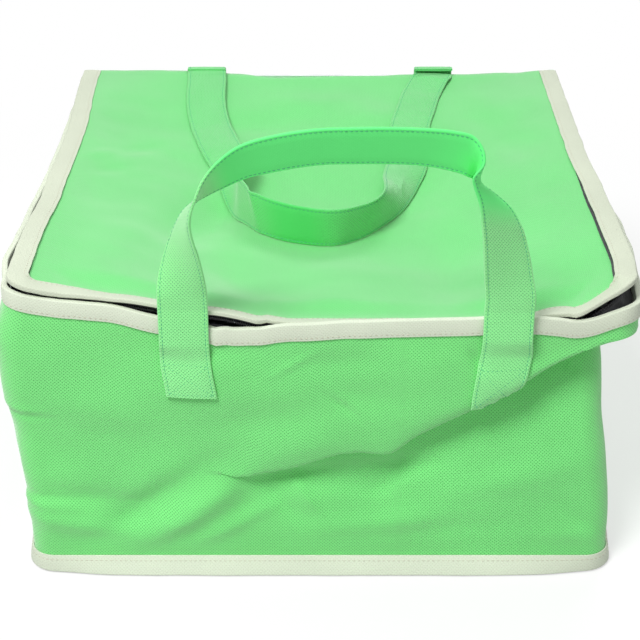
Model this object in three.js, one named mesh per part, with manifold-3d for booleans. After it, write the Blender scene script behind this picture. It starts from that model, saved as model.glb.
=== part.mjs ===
import * as THREE from 'three';
import { mergeVertices } from 'three/addons/utils/BufferGeometryUtils.js';
import Module from 'manifold-3d';

const wasm = await Module();
wasm.setup();

// A soft insulated delivery bag with a zipped lid. Millimetres, +X right, +Y back, +Z up.
// The origin is in the middle of the underside, and the lid's hinge is its back edge.

// Overall sizes
const width = 350;
const depth = 358;
const height = 195;
const cornerRadius = 14;

// Layers and clearances
const fitGap = 0.3;
const shellThickness = 1;
const linerThickness = 2.5;
const tapeThickness = 0.5;
const bindingThickness = 0.6;
const bindingDepth = 12.5;

// Slump of the front edge and of the lid
const frontDip = 23;
const frontBow = 6;
const lidSag = 32;
const widestSlit = 10.1;

// Swell and creases of the walls
const frontSwell = 4;
const sideSwell = 5;
const cornerPinch = 21;
const cornerPinchReach = 75;
const cornerBulge = 8;
const cornerBulgeReach = 60;
const frontDent = 6;
const frontDentReach = 70;
const frontDentSpreadShare = 0.25;

// Bottom seam
const seamHeight = 11;
const skirtReach = 7;
const skirtLift = 1.2;

// Zip: two coils on their tapes, a slider with its wedge, and its pull
const coilSize = 2.3;
const coilCorner = 0.6;
const wedgeSize = 1.5;
const zipInset = 4.2;
const sliderLength = 13;
const sliderPlate = 0.9;
const sliderLip = 0.7;
const sliderShoulder = 1.6;
const sliderParkInset = 26;
const bridgeLength = 9;
const bridgeWidth = 2.4;
const bridgeThickness = 1.1;
const bridgeRise = 4.2;
const pullLength = 27;
const pullWidth = 7;
const pullThickness = 1.2;
const pullEyeLength = 5.8;
const pullEyeWidth = 3.6;
const pullPin = 1.1;
const pullHoleRadius = 1.6;

// Carrying handles of folded strap
const strapWidth = 28;
const strapThickness = 1.8;
const strapClearance = 0.9;
const frontHandleCentre = 14.5;
const frontHandleSpacing = 181;
const frontHandleRise = 104;
const frontHandleLean = 17;
const frontHandleHingeDrop = 12;
const handleEndDrop = 67;
const backHandleSpacing = 168;
const backHandleReach = 238;
const backHandleInset = 8;
const backHandleHingeGap = 6;
const quarterTurn = Math.PI / 2;

// Hinge line of the lid, in the middle of the panels' thickness, and the heights of the handles' ends
const hingeGap = 0.9;
const lidFlange = 2 * bindingThickness + shellThickness + tapeThickness + 3 * fitGap;
const lidPanelDrop = bindingThickness + fitGap;
const hingeY = depth / 2 - shellThickness / 2;
const hingeZ = height - lidPanelDrop - shellThickness / 2;
const frontHandleHinge = height - frontHandleHingeDrop;
const handleEndBottom = height - handleEndDrop;

// Shares read at a place between minus one and one, eased from row to row
function eased(rows, place) {
  const at = THREE.MathUtils.clamp(place, rows[0][0], rows.at(-1)[0]);
  const i = Math.max(1, rows.findIndex((row) => row[0] >= at));
  const [from, to] = [rows[i - 1], rows[i]];
  return from[1] + (to[1] - from[1]) * THREE.MathUtils.smoothstep(at, from[0], to[0]);
}

const dipShares = [
  [-1, 0], [-0.74, 0.3], [-0.4, 0.58], [-0.1, 1], [0.3, 1], [0.66, 0.93], [0.86, 0.62], [1, 0],
];
const bowShares = [[-1, 0], [-0.3, 1], [0.5, 1], [1, 0]];
const slitShares = [
  [-1, 0.3], [-0.9, 0.08], [-0.55, 0.45], [-0.35, 0.75], [-0.14, 0.08], [0.8, 0.08], [1, 1],
];

// The front's slumped middle lies between the two corner folds
const frontHalf = width / 2 - cornerRadius;
const lidTop = (x) => height - frontDip * eased(dipShares, x / frontHalf);
const rimTop = (x) => lidTop(x) - lidFlange - widestSlit * eased(slitShares, x / frontHalf);
const bow = (x) => frontBow * eased(bowShares, x / frontHalf);

// Places round the left, front and right sides, each with its outward direction
const cornerSteps = 4;
const frontSteps = 22;
const sideStopShares = [1, 0.75, 0.5, 0.28, 0.12, 0];
const wallEnd = depth / 2 - 2 * shellThickness;

function makeStations() {
  const cornerY = -depth / 2 + cornerRadius;
  const left = sideStopShares.map((share) => ({
    x: -width / 2,
    y: THREE.MathUtils.lerp(cornerY, wallEnd, share),
    nx: -1,
    ny: 0,
  }));
  const corner = [];
  for (let step = 1; step < cornerSteps; step += 1) {
    const turn = (step / cornerSteps) * quarterTurn;
    corner.push({
      x: -frontHalf - cornerRadius * Math.cos(turn),
      y: cornerY - cornerRadius * Math.sin(turn),
      nx: -Math.cos(turn),
      ny: -Math.sin(turn),
    });
  }
  const front = [];
  for (let step = 0; step <= frontSteps; step += 1) {
    const x = THREE.MathUtils.lerp(-frontHalf, frontHalf, step / frontSteps);
    front.push({ x, y: -depth / 2, nx: 0, ny: -1 });
  }
  const mirror = ({ x, y, nx, ny }) => ({ x: -x, y, nx: -nx, ny });
  return [...left, ...corner, ...front, ...corner.map(mirror).reverse(), ...left.map(mirror).reverse()];
}

const stations = makeStations();
const cornerAt = sideStopShares.length - 1;
const frontAt = sideStopShares.length + cornerSteps - 1;
const bandAt = (first, last) => stations.slice(first, last + 1);

// A place on the wall: out from the shell's outer face, at a height
function along(station, out, z) {
  return new THREE.Vector3(station.x + station.nx * out, station.y + station.ny * out, z);
}

// A station between two neighbours
function between(from, to, share) {
  const mix = (key) => THREE.MathUtils.lerp(from[key], to[key], share);
  return { x: mix('x'), y: mix('y'), nx: mix('nx'), ny: mix('ny') };
}

// How far the wall stands out at a share of the height between the bottom seam and the rim seam
const wallRowShares = [0, 0.12, 0.25, 0.38, 0.5, 0.6, 0.7, 0.78, 0.86, 0.93, 1];
const rimSeam = (station) => rimTop(station.x) - bindingDepth - fitGap - tapeThickness;
const pinchPeakShare = 0.75;
const pinchShape = (share) => share ** 3 * (1 - share) / (pinchPeakShare ** 3 * (1 - pinchPeakShare));
const dentPlaceShare = -0.1;
const dentHeightShare = 0.42;

function swellAt(station, share) {
  const onFront = Math.abs(station.x) <= frontHalf;
  const sideShare = (station.y + depth / 2) / depth;
  const belly = Math.sin(Math.PI * share);
  const reach = onFront ? 1 - (station.x / frontHalf) ** 2 : 4 * sideShare * (1 - sideShare);
  const dentAcross = (station.x - dentPlaceShare * width) / frontDentReach;
  const dentUp = (share - dentHeightShare) / frontDentSpreadShare;
  const dent = onFront ? frontDent * Math.exp(-(dentAcross ** 2)) * Math.exp(-(dentUp ** 2)) : 0;
  const edgeBow = onFront ? bow(station.x) * THREE.MathUtils.smoothstep(share, 0, 1) : 0;
  return (onFront ? frontSwell : sideSwell) * belly * reach + edgeBow - dent * belly;
}

// How far the wall near the right front corner is pushed in towards the back left
function pinchAt(station, share) {
  const fromCorner = Math.hypot(station.x - width / 2, station.y + depth / 2);
  return cornerPinch * pinchShape(share) * Math.exp(-((fromCorner / cornerPinchReach) ** 2));
}

// How far the wall near the left front corner stands out to the left
const bulgeRiseShare = 1.4;

function bulgeAt(station, share) {
  const fromCorner = Math.hypot(station.x + width / 2, station.y + depth / 2);
  const rise = Math.sin(Math.PI * share ** bulgeRiseShare);
  return cornerBulge * rise * Math.exp(-((fromCorner / cornerBulgeReach) ** 2));
}

// All three are straight between the rows, so that every layer keeps to one faceted wall
function straightBetweenRows(amount, station, z) {
  const share = THREE.MathUtils.clamp((z - seamHeight) / (rimSeam(station) - seamHeight), 0, 1);
  const i = Math.max(1, wallRowShares.findIndex((row) => row >= share));
  const part = (share - wallRowShares[i - 1]) / (wallRowShares[i] - wallRowShares[i - 1]);
  return THREE.MathUtils.lerp(amount(station, wallRowShares[i - 1]), amount(station, wallRowShares[i]), part);
}

// A place on the wall, out from the shell's outer face, with the skirt below the bottom seam
const diagonal = Math.SQRT1_2;

function onWall(station, out, z) {
  const skirt = skirtReach * Math.max(1 - z / seamHeight, 0);
  const swell = straightBetweenRows(swellAt, station, z);
  const pinch = straightBetweenRows(pinchAt, station, z);
  const bulge = straightBetweenRows(bulgeAt, station, z);
  const shift = new THREE.Vector3(-pinch * diagonal - bulge, pinch * diagonal, 0);
  return along(station, out + skirt + swell, z).add(shift);
}

const rowHeight = (station, share) => THREE.MathUtils.lerp(seamHeight, rimSeam(station), share);

// Triangles that close the end of a sheet, like rungs between the two faces of its ring
function endFaces(sides) {
  const faces = [];
  for (let i = 0; i + 1 < sides / 2; i += 1) {
    const opposite = sides - 1 - i;
    faces.push([i, i + 1, opposite], [i + 1, opposite - 1, opposite]);
  }
  return faces;
}

// A closed solid through rings that have the same number of points. Half of a ring runs along one face
// of the sheet and the other half runs back along the other, so its quads are split the other way there
// and both faces stay parallel.
function loft(rings, closed = false) {
  const sides = rings[0].length;
  const faces = [];
  const spans = closed ? rings.length : rings.length - 1;
  for (let j = 0; j < spans; j += 1) {
    const near = j * sides;
    const far = ((j + 1) % rings.length) * sides;
    for (let i = 0; i < sides; i += 1) {
      const next = (i + 1) % sides;
      if (i < sides / 2) {
        faces.push([near + i, far + i, near + next], [near + next, far + i, far + next]);
      } else {
        faces.push([near + i, far + i, far + next], [near + i, far + next, near + next]);
      }
    }
  }
  if (!closed) {
    const last = (rings.length - 1) * sides;
    endFaces(sides).forEach(([a, b, c]) => faces.push([a, b, c], [last + a, last + c, last + b]));
  }
  const points = rings.flat();
  const volume = faces.reduce((sum, [a, b, c]) => (
    sum + points[a].dot(new THREE.Vector3().crossVectors(points[b], points[c]))
  ), 0);
  const order = volume > 0 ? faces : faces.map(([a, b, c]) => [a, c, b]);
  const geometry = new THREE.BufferGeometry();
  geometry.setAttribute('position', new THREE.Float32BufferAttribute(points.flatMap((p) => p.toArray()), 3));
  geometry.setIndex(order.flat());
  return geometry;
}

// Manifold solids from and to geometries
function solid(geometry) {
  const plain = geometry.clone();
  plain.deleteAttribute('normal');
  plain.deleteAttribute('uv');
  const merged = mergeVertices(plain);
  return new wasm.Manifold(new wasm.Mesh({
    numProp: 3,
    vertProperties: new Float32Array(merged.attributes.position.array),
    triVerts: new Uint32Array(merged.index.array),
  }));
}

function geometryOf(manifold) {
  const mesh = manifold.getMesh();
  const geometry = new THREE.BufferGeometry();
  geometry.setAttribute('position', new THREE.Float32BufferAttribute(mesh.vertProperties, 3));
  geometry.setIndex(new THREE.Uint32BufferAttribute(mesh.triVerts, 1));
  return geometry;
}

// An outline drawn in plan and raised between two heights
function raised(points, low, high) {
  const shape = new THREE.Shape(points.map(([x, y]) => new THREE.Vector2(x, y)));
  return new THREE.ExtrudeGeometry(shape, { depth: high - low, bevelEnabled: false }).translate(0, 0, low);
}

// A box between two opposite corners
function block(low, high) {
  const size = high.map((value, i) => value - low[i]);
  const middle = high.map((value, i) => (value + low[i]) / 2);
  return new THREE.BoxGeometry(...size).translate(...middle);
}

// Materials
const greenFabric = new THREE.MeshStandardMaterial({ color: 0x74dc82, roughness: 0.85, metalness: 0 });
const strapFabric = new THREE.MeshStandardMaterial({ color: 0x6be084, roughness: 0.8, metalness: 0 });
const creamFabric = new THREE.MeshStandardMaterial({ color: 0xe8e8d8, roughness: 0.85, metalness: 0 });
const foilFoam = new THREE.MeshStandardMaterial({ color: 0xc4c8cc, roughness: 0.35, metalness: 0.6 });
const blackTape = new THREE.MeshStandardMaterial({ color: 0x17181b, roughness: 0.8, metalness: 0 });
const blackCoil = new THREE.MeshStandardMaterial({ color: 0x0e0f11, roughness: 0.45, metalness: 0 });
const blackMetal = new THREE.MeshStandardMaterial({ color: 0x1c1d20, roughness: 0.4, metalness: 0.7 });

const group = new THREE.Group();

function addPiece(name, geometry, material, parent = group) {
  const mesh = new THREE.Mesh(geometry, material);
  mesh.name = name;
  parent.add(mesh);
}

// Vertical back seams: both panels' edges turn out along the corner's diagonal, side by side
const seamFlange = 9;
const seamLap = 4;
const seamBottom = seamHeight + bindingThickness + 2 * fitGap;
const seamTop = rimTop(width / 2) - bindingThickness - fitGap;

// A place from the corner: out along the diagonal, then across it towards the back
function cornerPlace(side, out, across) {
  const x = -width / 2 - diagonal * out + diagonal * across;
  return [side * x * -1, depth / 2 + diagonal * out + diagonal * across];
}

// Where a panel's face, at a depth below the corner's faces, meets a face of the turned-out edge
const bendOut = (drop, across) => -drop / diagonal - across;

function seamEdge(side, towardsBack) {
  const near = fitGap / 2;
  const far = near + shellThickness;
  const sign = towardsBack ? 1 : -1;
  const place = (out, across) => cornerPlace(side, out, sign * across);
  const outerBend = place(bendOut(0, far), far);
  const innerBend = place(bendOut(shellThickness, near), near);
  const lapped = ([x, y]) => (towardsBack ? [x - side * seamLap, y] : [x, y - seamLap]);
  const edge = [outerBend, place(seamFlange, far), place(seamFlange, near), innerBend];
  return raised([lapped(outerBend), ...edge, lapped(innerBend)], seamBottom, seamTop);
}

// Shell of the left, front and right walls in one length, folded at the front corners
function wallBandSection(station) {
  const heights = [skirtLift, ...wallRowShares.map((share) => rowHeight(station, share))];
  heights.push(rimTop(station.x) - bindingThickness - fitGap);
  const outer = heights.map((z) => onWall(station, 0, z));
  const inner = heights.map((z) => onWall(station, -shellThickness, z));
  return [...outer, ...inner.reverse()];
}

function wallBand() {
  const band = solid(loft(stations.map(wallBandSection)));
  return geometryOf(band.add(solid(seamEdge(-1, false))).add(solid(seamEdge(1, false))));
}

// Back panel, whose top edge is the hinge line
const backHalf = width / 2 - 2 * shellThickness;
const backSteps = 12;

function backStations() {
  const places = [];
  for (let step = 0; step <= backSteps; step += 1) {
    const x = THREE.MathUtils.lerp(backHalf, -backHalf, step / backSteps);
    places.push({ x, y: depth / 2, nx: 0, ny: 1 });
  }
  return places;
}

const backTop = hingeZ - hingeGap;
const backHeight = (share) => THREE.MathUtils.lerp(seamHeight, backTop, share);

function backSwell(station, share) {
  return sideSwell * Math.sin(Math.PI * share) * (1 - (station.x / backHalf) ** 2) ** 2;
}

function backPanel() {
  const section = (station) => {
    const rows = wallRowShares.map((share) => [backSwell(station, share), backHeight(share)]);
    rows.unshift([skirtReach * (1 - skirtLift / seamHeight), skirtLift]);
    const outer = rows.map(([out, z]) => along(station, out, z));
    const inner = rows.map(([out, z]) => along(station, out - shellThickness, z));
    return [...outer, ...inner.reverse()];
  };
  const panel = solid(loft(backStations().map(section)));
  return geometryOf(panel.add(solid(seamEdge(-1, true))).add(solid(seamEdge(1, true))));
}

// Folded binding over each back seam
function backSeamBinding(side) {
  const slot = fitGap / 2 + shellThickness + fitGap;
  const face = slot + bindingThickness;
  const tip = seamFlange + fitGap;
  const start = -slot + fitGap;
  const outline = [
    [start, -face], [tip + bindingThickness, -face], [tip + bindingThickness, face], [start, face],
    [start, slot], [tip, slot], [tip, -slot], [start, -slot],
  ];
  return raised(outline.map(([out, across]) => cornerPlace(side, out, across)), seamBottom, seamTop);
}

// Bottom panel: a flat floor with its edge turned up inside the walls
function roundedPlan(inset) {
  const shape = new THREE.Shape();
  const right = width / 2 - inset;
  const front = depth / 2 - inset;
  const back = depth / 2 - inset;
  const round = cornerRadius - inset;
  shape.moveTo(-right, back);
  shape.lineTo(-right, -front + round);
  shape.absarc(-right + round, -front + round, round, Math.PI, 3 * quarterTurn, false);
  shape.lineTo(right - round, -front);
  shape.absarc(right - round, -front + round, round, -quarterTurn, 0, false);
  shape.lineTo(right, back);
  return shape;
}

const lipInset = shellThickness + 2 * fitGap + bindingThickness;

function floorPlate(inset, low, high) {
  const options = { depth: high - low, bevelEnabled: false, curveSegments: cornerSteps };
  return new THREE.ExtrudeGeometry(roundedPlan(inset), options).translate(0, 0, low);
}

function bottomPanel() {
  const tray = solid(floorPlate(lipInset, 0, seamHeight));
  const hollow = solid(floorPlate(lipInset + shellThickness, shellThickness, height));
  return geometryOf(tray.subtract(hollow));
}

// Folded binding over the bottom seam, all the way round, flaring out to the ground
const squareCorner = (side) => ({ x: side * width / 2, y: depth / 2, nx: side, ny: 1 });

function bottomBinding() {
  const inside = shellThickness + fitGap;
  const outline = [
    [fitGap + bindingThickness, seamHeight], [fitGap + bindingThickness, fitGap],
    [-inside - bindingThickness, fitGap], [-inside - bindingThickness, seamHeight],
    [-inside, seamHeight], [-inside, fitGap + bindingThickness],
    [fitGap, fitGap + bindingThickness], [fitGap, seamHeight],
  ];
  const section = (station) => outline.map(([out, z]) => onWall(station, out, z));
  const loop = [squareCorner(-1), ...stations.slice(1, -1), squareCorner(1)];
  return loft(loop.map(section), true);
}

// Binding over the rim, with the wall's edge and the zip tape inside it
const tapeOut = -shellThickness - fitGap;
const innerLeg = tapeOut - tapeThickness - fitGap;

function rimBinding() {
  const section = (station) => {
    const top = rimTop(station.x);
    const seam = top - bindingDepth;
    const under = top - bindingThickness;
    const face = fitGap + bindingThickness;
    const inner = innerLeg - bindingThickness;
    const outline = [
      [face, seam], [face, top], [inner, top], [inner, seam],
      [innerLeg, seam], [innerLeg, under], [fitGap, under], [fitGap, seam],
    ];
    return outline.map(([out, z]) => along(station, out + edgeOut(station), z));
  };
  return loft(trimmedStations(rimEndInset).map(section));
}

// How far the rim and the lid's edge stand out past the corners
const edgeOut = (station) => (Math.abs(station.x) <= frontHalf ? bow(station.x) : 0);

// The stations with both back ends drawn forward
const rimEndInset = 4;

function trimmedStations(inset, rightInset = inset) {
  const list = stations.map((station) => ({ ...station }));
  list[0].y = depth / 2 - inset;
  list.at(-1).y = depth / 2 - rightInset;
  return list;
}

// Zip tape of the rim: down inside the binding, round its edge and up to the coil
const lipHeight = coilSize + fitGap + sliderLip;
const sliderHalf = wedgeSize / 2 + fitGap + lipHeight;
const zipLine = (x) => lidTop(x) - lidFlange - 2 * fitGap - tapeThickness - sliderHalf;
const coilLift = wedgeSize / 2 + fitGap + coilSize / 2;
const tapeEnd = coilLift + coilSize / 2 + fitGap;

function rimZipTape() {
  const section = (station) => {
    const top = rimTop(station.x) - bindingThickness - fitGap;
    const fold = rimTop(station.x) - bindingDepth - fitGap;
    const end = zipLine(station.x) - tapeEnd;
    const inside = innerLeg - bindingThickness - fitGap;
    const outline = [
      [tapeOut, top], [tapeOut, fold - tapeThickness], [inside - tapeThickness, fold - tapeThickness],
      [-zipInset - tapeThickness / 2, end], [-zipInset + tapeThickness / 2, end],
      [inside, fold], [tapeOut - tapeThickness, fold], [tapeOut - tapeThickness, top],
    ];
    return outline.map(([out, z]) => along(station, out + edgeOut(station), z));
  };
  return loft(trimmedStations(rimEndInset).map(section));
}

// A coil, kept as a plain bead with cut corners
const coilEndInset = 13;

function coilBead(list, lift) {
  const half = coilSize / 2;
  const cut = half - coilCorner;
  const outline = [
    [half, -cut], [half, cut], [cut, half], [-cut, half],
    [-half, cut], [-half, -cut], [-cut, -half], [cut, -half],
  ];
  return loft(list.map((station) => outline.map(([out, up]) => (
    along(station, out - zipInset + edgeOut(station), zipLine(station.x) + lift + up)
  ))));
}

// Lid panel: flat along its bound edges and slumped between them
const lidRowShares = [0, 0.07, 0.15, 0.24, 0.33, 0.42, 0.51, 0.6, 0.69, 0.78, 0.86, 0.93, 1];
const lidStrip = cornerRadius;
const lidBackStrip = 6;
const dipGrowthShare = 1.8;

function lidSlump(x, share) {
  const acrossShare = THREE.MathUtils.clamp(x / frontHalf, -1, 1);
  const dip = (height - lidTop(x)) * share ** dipGrowthShare;
  return dip + lidSag * (1 - acrossShare ** 2) * Math.sin(Math.PI * share);
}

const lidRowY = (frontY, share) => THREE.MathUtils.lerp(hingeY - lidBackStrip, frontY + lidStrip, share);

const lidEdgeInset = bindingThickness + fitGap;
const lidEdge = (station) => along(station, edgeOut(station) - lidEdgeInset, 0);

function lidRowPlaces({ x, y }) {
  return lidRowShares.map((share) => [lidRowY(y, share), height - lidSlump(x, share)]);
}

function lidSection(x, rows, drop, thickness) {
  const top = rows.map(([y, z]) => new THREE.Vector3(x, y, z - drop));
  const under = rows.map(([y, z]) => new THREE.Vector3(x, y, z - drop - thickness));
  return [...top, ...under.reverse()];
}

function lidPanel() {
  return loft(bandAt(cornerAt, stations.length - 1 - cornerAt).map((station) => {
    const edge = lidEdge(station);
    const rows = [[hingeY - hingeGap, height], ...lidRowPlaces(edge), [edge.y, lidTop(edge.x)]];
    return lidSection(edge.x, rows, lidPanelDrop, shellThickness);
  }));
}

// Lid liner, inside the lid's seam
function lidLiner() {
  const drop = lidPanelDrop + shellThickness + fitGap;
  const sections = bandAt(frontAt, stations.length - 1 - frontAt).map((station) => {
    const edge = lidEdge(station);
    return lidSection(edge.x, lidRowPlaces(edge), drop, linerThickness);
  });
  const endCutShare = fitGap / (frontHalf / frontSteps);
  const drawnIn = (ring, next) => ring.map((point, i) => point.clone().lerp(next[i], endCutShare));
  const first = drawnIn(sections[0], sections[1]);
  const last = drawnIn(sections.at(-1), sections.at(-2));
  return loft([first, ...sections.slice(1, -1), last]);
}

// Binding over the lid's left, front and right edges
const lidEndInset = 5;

function lidBinding() {
  const section = (station) => {
    const top = lidTop(station.x);
    const low = top - lidFlange;
    const outline = [
      [-bindingDepth, top], [0, top], [0, low], [-bindingDepth, low],
      [-bindingDepth, low + bindingThickness], [-bindingThickness, low + bindingThickness],
      [-bindingThickness, top - bindingThickness], [-bindingDepth, top - bindingThickness],
    ];
    return outline.map(([out, z]) => along(station, out + edgeOut(station), z));
  };
  return loft(trimmedStations(lidEndInset).map(section));
}

// Zip tape of the lid: in through the binding, round its edge and out to the coil
function lidZipTape() {
  const section = (station) => {
    const low = lidTop(station.x) - lidFlange;
    const upper = low + bindingThickness + fitGap + tapeThickness;
    const under = low - fitGap;
    const fold = -bindingDepth - fitGap;
    const end = zipLine(station.x) + tapeEnd;
    const outline = [
      [-lidEdgeInset, upper], [fold - tapeThickness, upper], [fold - tapeThickness, under - tapeThickness],
      [-zipInset - tapeThickness / 2, under - tapeThickness], [-zipInset - tapeThickness / 2, end],
      [-zipInset + tapeThickness / 2, end], [-zipInset + tapeThickness / 2, under],
      [fold, under], [fold, upper - tapeThickness], [-lidEdgeInset, upper - tapeThickness],
    ];
    return outline.map(([out, z]) => along(station, out + edgeOut(station), z));
  };
  return loft(trimmedStations(lidEndInset).map(section));
}

// Liner panels inside the walls, one to each wall
function wallLiner(list) {
  const section = (station) => {
    const heights = wallRowShares.map((share) => rowHeight(station, share));
    heights[0] += 2 * fitGap;
    heights[heights.length - 1] -= fitGap;
    const face = -shellThickness - fitGap;
    const outer = heights.map((z) => onWall(station, face, z));
    const inner = heights.map((z) => onWall(station, face - linerThickness, z));
    return [...outer, ...inner.reverse()];
  };
  return loft(list.map(section));
}

const foldAt = cornerAt + cornerSteps / 2;
const linerCutShare = 0.06;

function frontLiner() {
  return wallLiner(bandAt(foldAt, stations.length - 1 - foldAt));
}

const linerEndGap = 0.5;
const linerBackInset = 2 * shellThickness + 2 * fitGap + linerThickness + linerEndGap;

function sideLiner(side) {
  const list = bandAt(0, foldAt).map((station) => ({ ...station }));
  list[0].y = depth / 2 - linerBackInset;
  list[foldAt] = between(list[foldAt], list[foldAt - 1], linerCutShare);
  const mirrored = list.map((station) => ({ ...station, x: -station.x, nx: -station.nx })).reverse();
  return wallLiner(side < 0 ? list : mirrored);
}

function backLiner() {
  const inner = backStations().map((station) => ({ ...station, x: station.x * backLinerShare }));
  return loft(inner.map((station) => {
    const face = -shellThickness - fitGap;
    const rows = wallRowShares.map((share) => [backSwell(station, share) + face, backHeight(share)]);
    rows[0][1] += 2 * fitGap;
    rows[rows.length - 1][1] -= linerThickness;
    const outer = rows.map(([out, z]) => along(station, out, z));
    const inside = rows.map(([out, z]) => along(station, out - linerThickness, z));
    return [...outer, ...inside.reverse()];
  }));
}

const backLinerShare = (backHalf - linerThickness - sideSwell) / backHalf;

function bottomLiner() {
  const inset = lipInset + shellThickness + fitGap;
  return floorPlate(inset, shellThickness + fitGap, shellThickness + fitGap + linerThickness);
}

// A flat strap along a curve: each stop has a place and the direction of the strap's outer edge
function strap(stops, steps, startSlant = 0, endSlant = 0) {
  const curve = new THREE.CatmullRomCurve3(stops.map((stop) => stop.place), false, 'centripetal');
  const edges = new THREE.CatmullRomCurve3(stops.map((stop) => stop.edge), false, 'centripetal');
  const rings = [];
  for (let step = 0; step <= steps; step += 1) {
    const share = step / steps;
    const place = curve.getPoint(share);
    const ahead = curve.getTangent(share);
    const edge = edges.getPoint(share);
    edge.addScaledVector(ahead, -edge.dot(ahead)).normalize();
    const face = new THREE.Vector3().crossVectors(ahead, edge);
    const slant = step === 0 ? startSlant : (step === steps ? -endSlant : 0);
    const corner = (across, out) => place.clone()
      .addScaledVector(edge, across * strapWidth / 2)
      .addScaledVector(face, out * strapThickness / 2)
      .addScaledVector(ahead, out < 0 ? slant : 0);
    rings.push([corner(-1, 1), corner(1, 1), corner(1, -1), corner(-1, -1)]);
  }
  return loft(rings);
}

// Front handle: stitched ends that stand up past the rim, and the loop that stands above them
const stationAt = (x) => ({ x, y: -depth / 2, nx: 0, ny: -1 });
const strapOut = fitGap + strapThickness / 2;
const frontLoopY = -depth / 2 - frontBow - fitGap - bindingThickness - strapClearance - strapOut;
const handleEndShares = [0, 0.2, 0.42, 0.6, 0.76, 0.9, 1];
const handleGap = 0.25;
const frontEndSteps = 10;
const frontLoopSteps = 56;

// The wall's place, or in front of the rim binding for the strap's upper part
function frontEndPlace(x, z) {
  const seam = rimSeam(stationAt(x));
  const leave = THREE.MathUtils.smoothstep(z, seam - strapWidth / 2, seam);
  const wall = onWall(stationAt(x), strapOut, z);
  return wall.setY(THREE.MathUtils.lerp(wall.y, frontLoopY, leave));
}

function frontHandleEnd(side) {
  const x = frontHandleCentre + side * frontHandleSpacing / 2;
  const stops = handleEndShares.map((share) => {
    const z = THREE.MathUtils.lerp(handleEndBottom, frontHandleHinge - handleGap, share);
    const across = [-1, 0, 1].map((part) => x + side * part * strapWidth / 2);
    const [inner, middle, outer] = across.map((at) => frontEndPlace(at, z));
    const edge = new THREE.Vector3(outer.x - inner.x, outer.y - inner.y, 0).normalize();
    const place = new THREE.Vector3(x, Math.min(middle.y, (inner.y + outer.y) / 2) - fitGap, z);
    return { place, edge };
  });
  return strap(stops, frontEndSteps);
}

const hingeSlant = 1.4 * strapThickness;
const leanGrowthShare = 1.1;

// Places along the front loop, from the left leg to the right: across, up, and its outer edge's turn and
// drop. The strap twists at both shoulders, and its grip stands on edge with the legs' back to the front.
const frontLoopShares = [
  [-1, 0, 0, 0.3], [-1, 0.08, 0.01, 0.3], [-0.998, 0.28, 0.18, 0.29], [-0.99, 0.44, 0.32, 0.28],
  [-0.97, 0.54, 0.39, 0.26], [-0.936, 0.62, 0.43, 0.26], [-0.89, 0.68, 0.475, 0.29],
  [-0.83, 0.75, 0.51, 0.42], [-0.743, 0.825, 0.53, 0.55], [-0.62, 0.9, 0.53, 0.65],
  [-0.446, 0.95, 0.52, 0.68], [-0.21, 0.99, 0.51, 0.66], [0, 1, 0.5, 0.65], [0.4, 0.996, 0.5, 0.66],
  [0.6, 0.97, 0.5, 0.68], [0.688, 0.945, 0.5, 0.69], [0.737, 0.905, 0.51, 0.62],
  [0.752, 0.85, 0.53, 0.48], [0.758, 0.79, 0.57, 0.37], [0.8, 0.735, 0.65, 0.36],
  [0.865, 0.65, 0.74, 0.36], [0.913, 0.53, 0.81, 0.32], [0.947, 0.39, 0.86, 0.28],
  [0.978, 0.21, 0.93, 0.28], [1, 0.08, 0.99, 0.3], [1, 0, 1, 0.3],
];

function frontHandleLoop() {
  const stops = frontLoopShares.map(([across, up, turnShare, dropShare]) => {
    const turn = turnShare * Math.PI;
    const drop = dropShare * quarterTurn;
    const towardsBack = new THREE.Vector3(0, Math.cos(drop), -Math.sin(drop));
    return {
      place: new THREE.Vector3(
        frontHandleCentre + across * frontHandleSpacing / 2,
        frontLoopY - up ** leanGrowthShare * frontHandleLean,
        frontHandleHinge + handleGap + up * frontHandleRise,
      ),
      edge: new THREE.Vector3(-Math.cos(turn), 0, 0).addScaledVector(towardsBack, Math.sin(turn)),
    };
  });
  return strap(stops, frontLoopSteps, hingeSlant, hingeSlant);
}

// Back handle: stitched ends on the back panel, and the loop that lies on the lid with its front on edge
const backEndSteps = 6;

function backHandleEnd(side) {
  const station = { x: side * backHandleSpacing / 2, y: depth / 2, nx: 0, ny: 1 };
  const top = backTop - backHandleHingeGap;
  const stops = handleEndShares.map((share) => {
    const z = THREE.MathUtils.lerp(handleEndBottom, top, share);
    const rowShare = (z - seamHeight) / (backTop - seamHeight);
    const place = along(station, backSwell(station, rowShare) + strapOut + fitGap, z);
    return { place, edge: new THREE.Vector3(side, 0, 0) };
  });
  return strap(stops, backEndSteps);
}

// Places along the back loop, from the left leg to the right: across, forward, and its outer edge's turn
const backLoopSteps = 44;
const backLoopShares = [
  [-1, 0, 0], [-0.97, 0.1, 0], [-0.94, 0.24, 0], [-0.87, 0.47, 0.01],
  [-0.76, 0.69, 0.04], [-0.64, 0.84, 0.12], [-0.5, 0.93, 0.3], [-0.3, 0.98, 0.46],
  [0, 1, 0.5], [0.33, 0.96, 0.52], [0.58, 0.85, 0.6], [0.73, 0.67, 0.74],
  [0.79, 0.46, 0.88], [0.87, 0.25, 0.97], [0.95, 0.1, 1], [1, 0, 1],
];

function lidTopAt(x, y) {
  const frontY = -depth / 2 - (Math.abs(x) <= frontHalf ? bow(x) : 0) + lidEdgeInset;
  const panelEnd = hingeY - lidBackStrip;
  const share = THREE.MathUtils.clamp((panelEnd - y) / (panelEnd - frontY - lidStrip), 0, 1);
  return height - lidSlump(x, share) - lidPanelDrop;
}

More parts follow.
